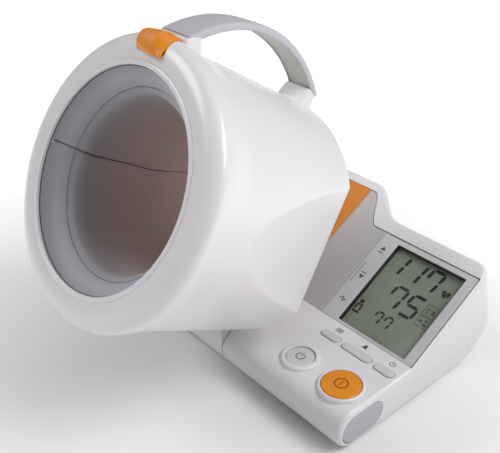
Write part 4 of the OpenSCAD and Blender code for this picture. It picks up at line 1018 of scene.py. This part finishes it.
def digit(d, x, y, w, h, t):
    """The lit segments of a digit, with mitred ends."""
    half, g = h / 2, t * 0.16
    ends = {"a": ((0, h), (w, h)), "b": ((w, h), (w, half)), "c": ((w, half), (w, 0)), "d": ((0, 0), (w, 0)),
            "e": ((0, half), (0, 0)), "f": ((0, h), (0, half)), "g": ((0, half), (w, half))}
    out = []
    for name in SEGMENTS[d]:
        (x0, y0), (x1, y1) = ends[name]
        d2 = Vector((x1 - x0, y1 - y0)).normalized()
        n2 = Vector((-d2.y, d2.x)) * t / 2
        a, b = Vector((x0, y0)) + d2 * g, Vector((x1, y1)) - d2 * g
        shape = [a, a + d2 * t / 2 + n2, b - d2 * t / 2 + n2, b, b - d2 * t / 2 - n2, a + d2 * t / 2 - n2]
        out.append([(x + p.x + SLANT * p.y, y + p.y) for p in shape])
    return out


def at_window(outlines):
    return [[(WINDOW_X0 + x, WINDOW_S0 + y) for x, y in o] for o in outlines]


# Seven-segment digits, as digit, left, bottom, width, height and stroke
BIG, SMALL = (10.4, 18.0, 2.6), (5.4, 10.0, 1.6)
DIGITS = (("1", 2.0, 54.0, *BIG), ("1", 17.9, 54.0, *BIG), ("7", 33.7, 54.0, *BIG),
          ("7", 18.0, 28.6, 10.4, 18.6, 2.6), ("5", 33.7, 28.6, 10.6, 18.6, 2.6),
          ("7", 19.7, 12.3, *SMALL), ("7", 28.5, 12.3, *SMALL))
lit = []
for spec in DIGITS:
    lit += digit(*spec)
HEART_X, HEART_Y, HEART_SIZE = 55.2, 58.6, 0.23
heart = []
for k in range(40):
    a = 2 * pi * k / 40
    rise = 13 * cos(a) - 5 * cos(2 * a) - 2 * cos(3 * a) - cos(4 * a)
    heart.append((HEART_X + HEART_SIZE * 16 * sin(a) ** 3, HEART_Y + HEART_SIZE * rise))
lit.append(heart)
boxes = []
for x0, y0, x1, y1 in ((49.4, 37.0, 59.2, 46.0), (49.4, 27.4, 59.2, 36.0)):
    boxes += [bar(x0, y0, x1, y0, 0.6), bar(x1, y0, x1, y1, 0.6), bar(x1, y1, x0, y1, 0.6), bar(x0, y1, x0, y0, 0.6)]
boxes += [rect(50.8, 42.4, 53.8, 43.4), rect(50.8, 40.6, 53.8, 41.6), rect(50.8, 38.8, 53.8, 39.8),
          rect(55.4, 39.0, 58.0, 43.6, 0.6), rect(50.8, 30.6, 53.4, 33.0, 0.4), rect(55.0, 32.8, 58.0, 34.4),
          rect(55.0, 29.0, 58.0, 31.4, 0.4)]
# A seated figure of plain bars and a round head
lit += [rect(1.4, 12.0, 7.6, 13.6), rect(1.6, 14.4, 3.0, 20.0, 0.4), rect(5.9, 14.4, 7.3, 20.0, 0.4),
        rect(2.6, 18.7, 6.3, 20.0, 0.4), arc(4.3, 22.3, 1.8, 0, 345, 20)]
pulse = [(51.9, 58.8), (53.9, 58.8), (54.8, 60.6), (55.9, 56.6), (56.8, 58.8), (58.4, 58.8)]
heart_line = [bar(*p, *q, 0.55) for p, q in zip(pulse, pulse[1:])]
plate("display_digits", at_window(lit), GLASS_H, GLASS_H + 0.08, SLOPE, DARK_INK, "base")
plate("display_icons", at_window(boxes), GLASS_H, GLASS_H + 0.07, SLOPE, PALE_SEGMENT, "base")
plate("heart_line", at_window(heart_line), GLASS_H, GLASS_H + 0.12, SLOPE, HEART_LINE, "base")

# Generic marks beside the display: upper, lower and pulse readings
MARK_X = WINDOW_X0 - 8.2
marks = []
for y, sign in ((66, 1), (38, -1)):
    cy = WINDOW_S0 + y
    foot = cy - 3.4 * sign
    marks += [[(MARK_X - 2.6, cy - 1.2 * sign), (MARK_X + 2.6, cy - 1.2 * sign), (MARK_X, cy + 2.4 * sign)],
              rect(MARK_X - 2.6, foot - 0.4, MARK_X + 2.6, foot + 0.4)]
beat = [(MARK_X + x, WINDOW_S0 + 15 + y)
        for x, y in ((-3.4, 0), (-1.2, 0), (-0.3, 2.4), (0.7, -2.2), (1.5, 0), (3.6, 0))]
marks += [bar(*p, *q, 0.7) for p, q in zip(beat, beat[1:])]
marks.append(rect(WINDOW_X0 - 13.4, WINDOW_S0 + 30, WINDOW_X0 - 12.9, WINDOW_S0 + 50))
plate("reading_marks", marks, BEZEL_TOP - 0.05, BEZEL_TOP + 0.06, SLOPE, INK, "base")

# ---------- base: end caps ----------
for side, label in ((1, "right"), (-1, "left")):
    low, high = sorted((side * (HALF_W - CAP_DEPTH), side * (HALF_W + 0.25)))
    cap = prism(f"end_cap_{label}", end_oval(CAP_R - 0.1), low, high, SIDE)
    bevel(cap, 0.6, 3, 50)
    dress(cap, "cap_gray", "base", ["end_caps"])

# ---------- battery cover ----------
DOOR_GAP, GROOVES, GROOVE_W, GROOVE_LEN, GROOVE_D, GROOVE_PITCH = 0.4, 5, 1.4, 18, 0.6, 3
outline = rect(BAY_X0 + DOOR_GAP, BAY_Y0 + DOOR_GAP, BAY_X1 - DOOR_GAP, BAY_Y1 - DOOR_GAP, 1.5)
cover = prism("battery_door_panel", outline, FOOT_H, FOOT_H + 2.0, WORLD)
middle = (BAY_Y0 + BAY_Y1) / 2
for k in range(GROOVES):
    x = BAY_X0 + 12 + k * GROOVE_PITCH
    groove = rect(x, middle - GROOVE_LEN / 2, x + GROOVE_W, middle + GROOVE_LEN / 2, 0.6)
    combine(cover, prism("groove", groove, FOOT_H - 1, FOOT_H + GROOVE_D, WORLD))
bevel(cover, 0.3, 2, 40)
dress(cover, "casing_white", "battery_door", ["battery_cover"])

# ---------- stage, light, camera ----------
# A floor that pales with the distance from the object: painted shadow, darker near the object, and a glow that grows
# away from it
floor = mesh_object("floor", [(x, y, 0) for x, y in rect(-4000, -4000, 4000, 4000)], [[0, 1, 2, 3]], WORLD)
shadowed_floor = Nodes("floor_painted_shadow")
shadowed_floor.into("Roughness").default_value = 0.9
shadowed_floor.into("Specular IOR Level").default_value = 0.1
shadowed_floor.into("Emission Color").default_value = (1.0, 1.0, 1.0, 1.0)
away = shadowed_floor.add("ShaderNodeVectorMath", operation="LENGTH")
shadowed_floor.link(shadowed_floor.coords(), away.inputs[0])
patches = shadowed_floor.math("MULTIPLY", shadowed_floor.noise(shadowed_floor.coords(), 3.0), value=0.03)
uneven = shadowed_floor.math("ADD", away.outputs["Value"], patches)
# Painted shadow round the object: a darker colour and less glow near it
shadowed_floor.link(shadowed_floor.ramp(uneven, [(0.12, srgb(228, 228, 229)), (0.45, srgb(244, 244, 244))]), shadowed_floor.into("Base Color"))
shadowed_floor.link(shadowed_floor.span(uneven, 0.0, 0.5, 0.1, 0.5), shadowed_floor.into("Emission Strength"))
floor.data.materials.append(shadowed_floor.mat)

world = bpy.data.worlds.new("studio")
bpy.context.scene.world = world
world.use_nodes = True
background = world.node_tree.nodes["Background"]
background.inputs["Color"].default_value = (1.0, 1.0, 1.0, 1.0)
background.inputs["Strength"].default_value = 0.2


def lamp_of(name, data, rotation, place=(0, 0, 0)):
    lamp = placed(bpy.data.objects.new(name, data))
    lamp.location, lamp.rotation_euler = place, rotation.to_euler()


def sun(name, toward, strength, spread):
    """Light from far away, from the direction toward, as wide as spread degrees."""
    data = bpy.data.lights.new(name, "SUN")
    data.energy, data.angle = strength, radians(spread)
    lamp_of(name, data, Vector(toward).to_track_quat("Z", "Y"))


def softbox(name, place, target, size, power):
    data = bpy.data.lights.new(name, "AREA")
    data.shape, data.size, data.size_y, data.energy = "RECTANGLE", *size, power
    lamp_of(name, data, (Vector(target) - Vector(place)).to_track_quat("-Z", "Y"), place)


softbox("key_light", (0.6, 0.32, 0.8), (0.05, 0.0, 0.15), (0.5, 0.5), 5.8)
sun("front_light", (-0.8, -0.6, 0.85), 1.15, 28)
sun("top_light", (0.2, 0.2, 1.0), 0.35, 50)

# The camera's angle, place and focal length, from a perspective fit of the photograph
SENSOR, WIDTH_PX, FOCAL_PX = 36.0, 500, 777.4
AZ, EL = radians(48.06), radians(31.18)
ahead = Vector((-sin(AZ) * cos(EL), cos(AZ) * cos(EL), -sin(EL)))
right = Vector((cos(AZ), sin(AZ), 0))
up = right.cross(ahead)
camera_data = bpy.data.cameras.new("camera")
camera = placed(bpy.data.objects.new("camera", camera_data))
place = Matrix((right, up, -ahead)).transposed().to_4x4()
place.translation = Vector((349.5, -315.1, 393.0)) * MM
camera.matrix_world = place
camera_data.sensor_width = SENSOR
camera_data.lens = SENSOR * FOCAL_PX / WIDTH_PX
camera_data.shift_x, camera_data.shift_y = -12.96 / WIDTH_PX, 1.05 / WIDTH_PX
camera_data.clip_start = 0.01
bpy.context.scene.camera = camera
bpy.context.scene.view_settings.view_transform = "Standard"
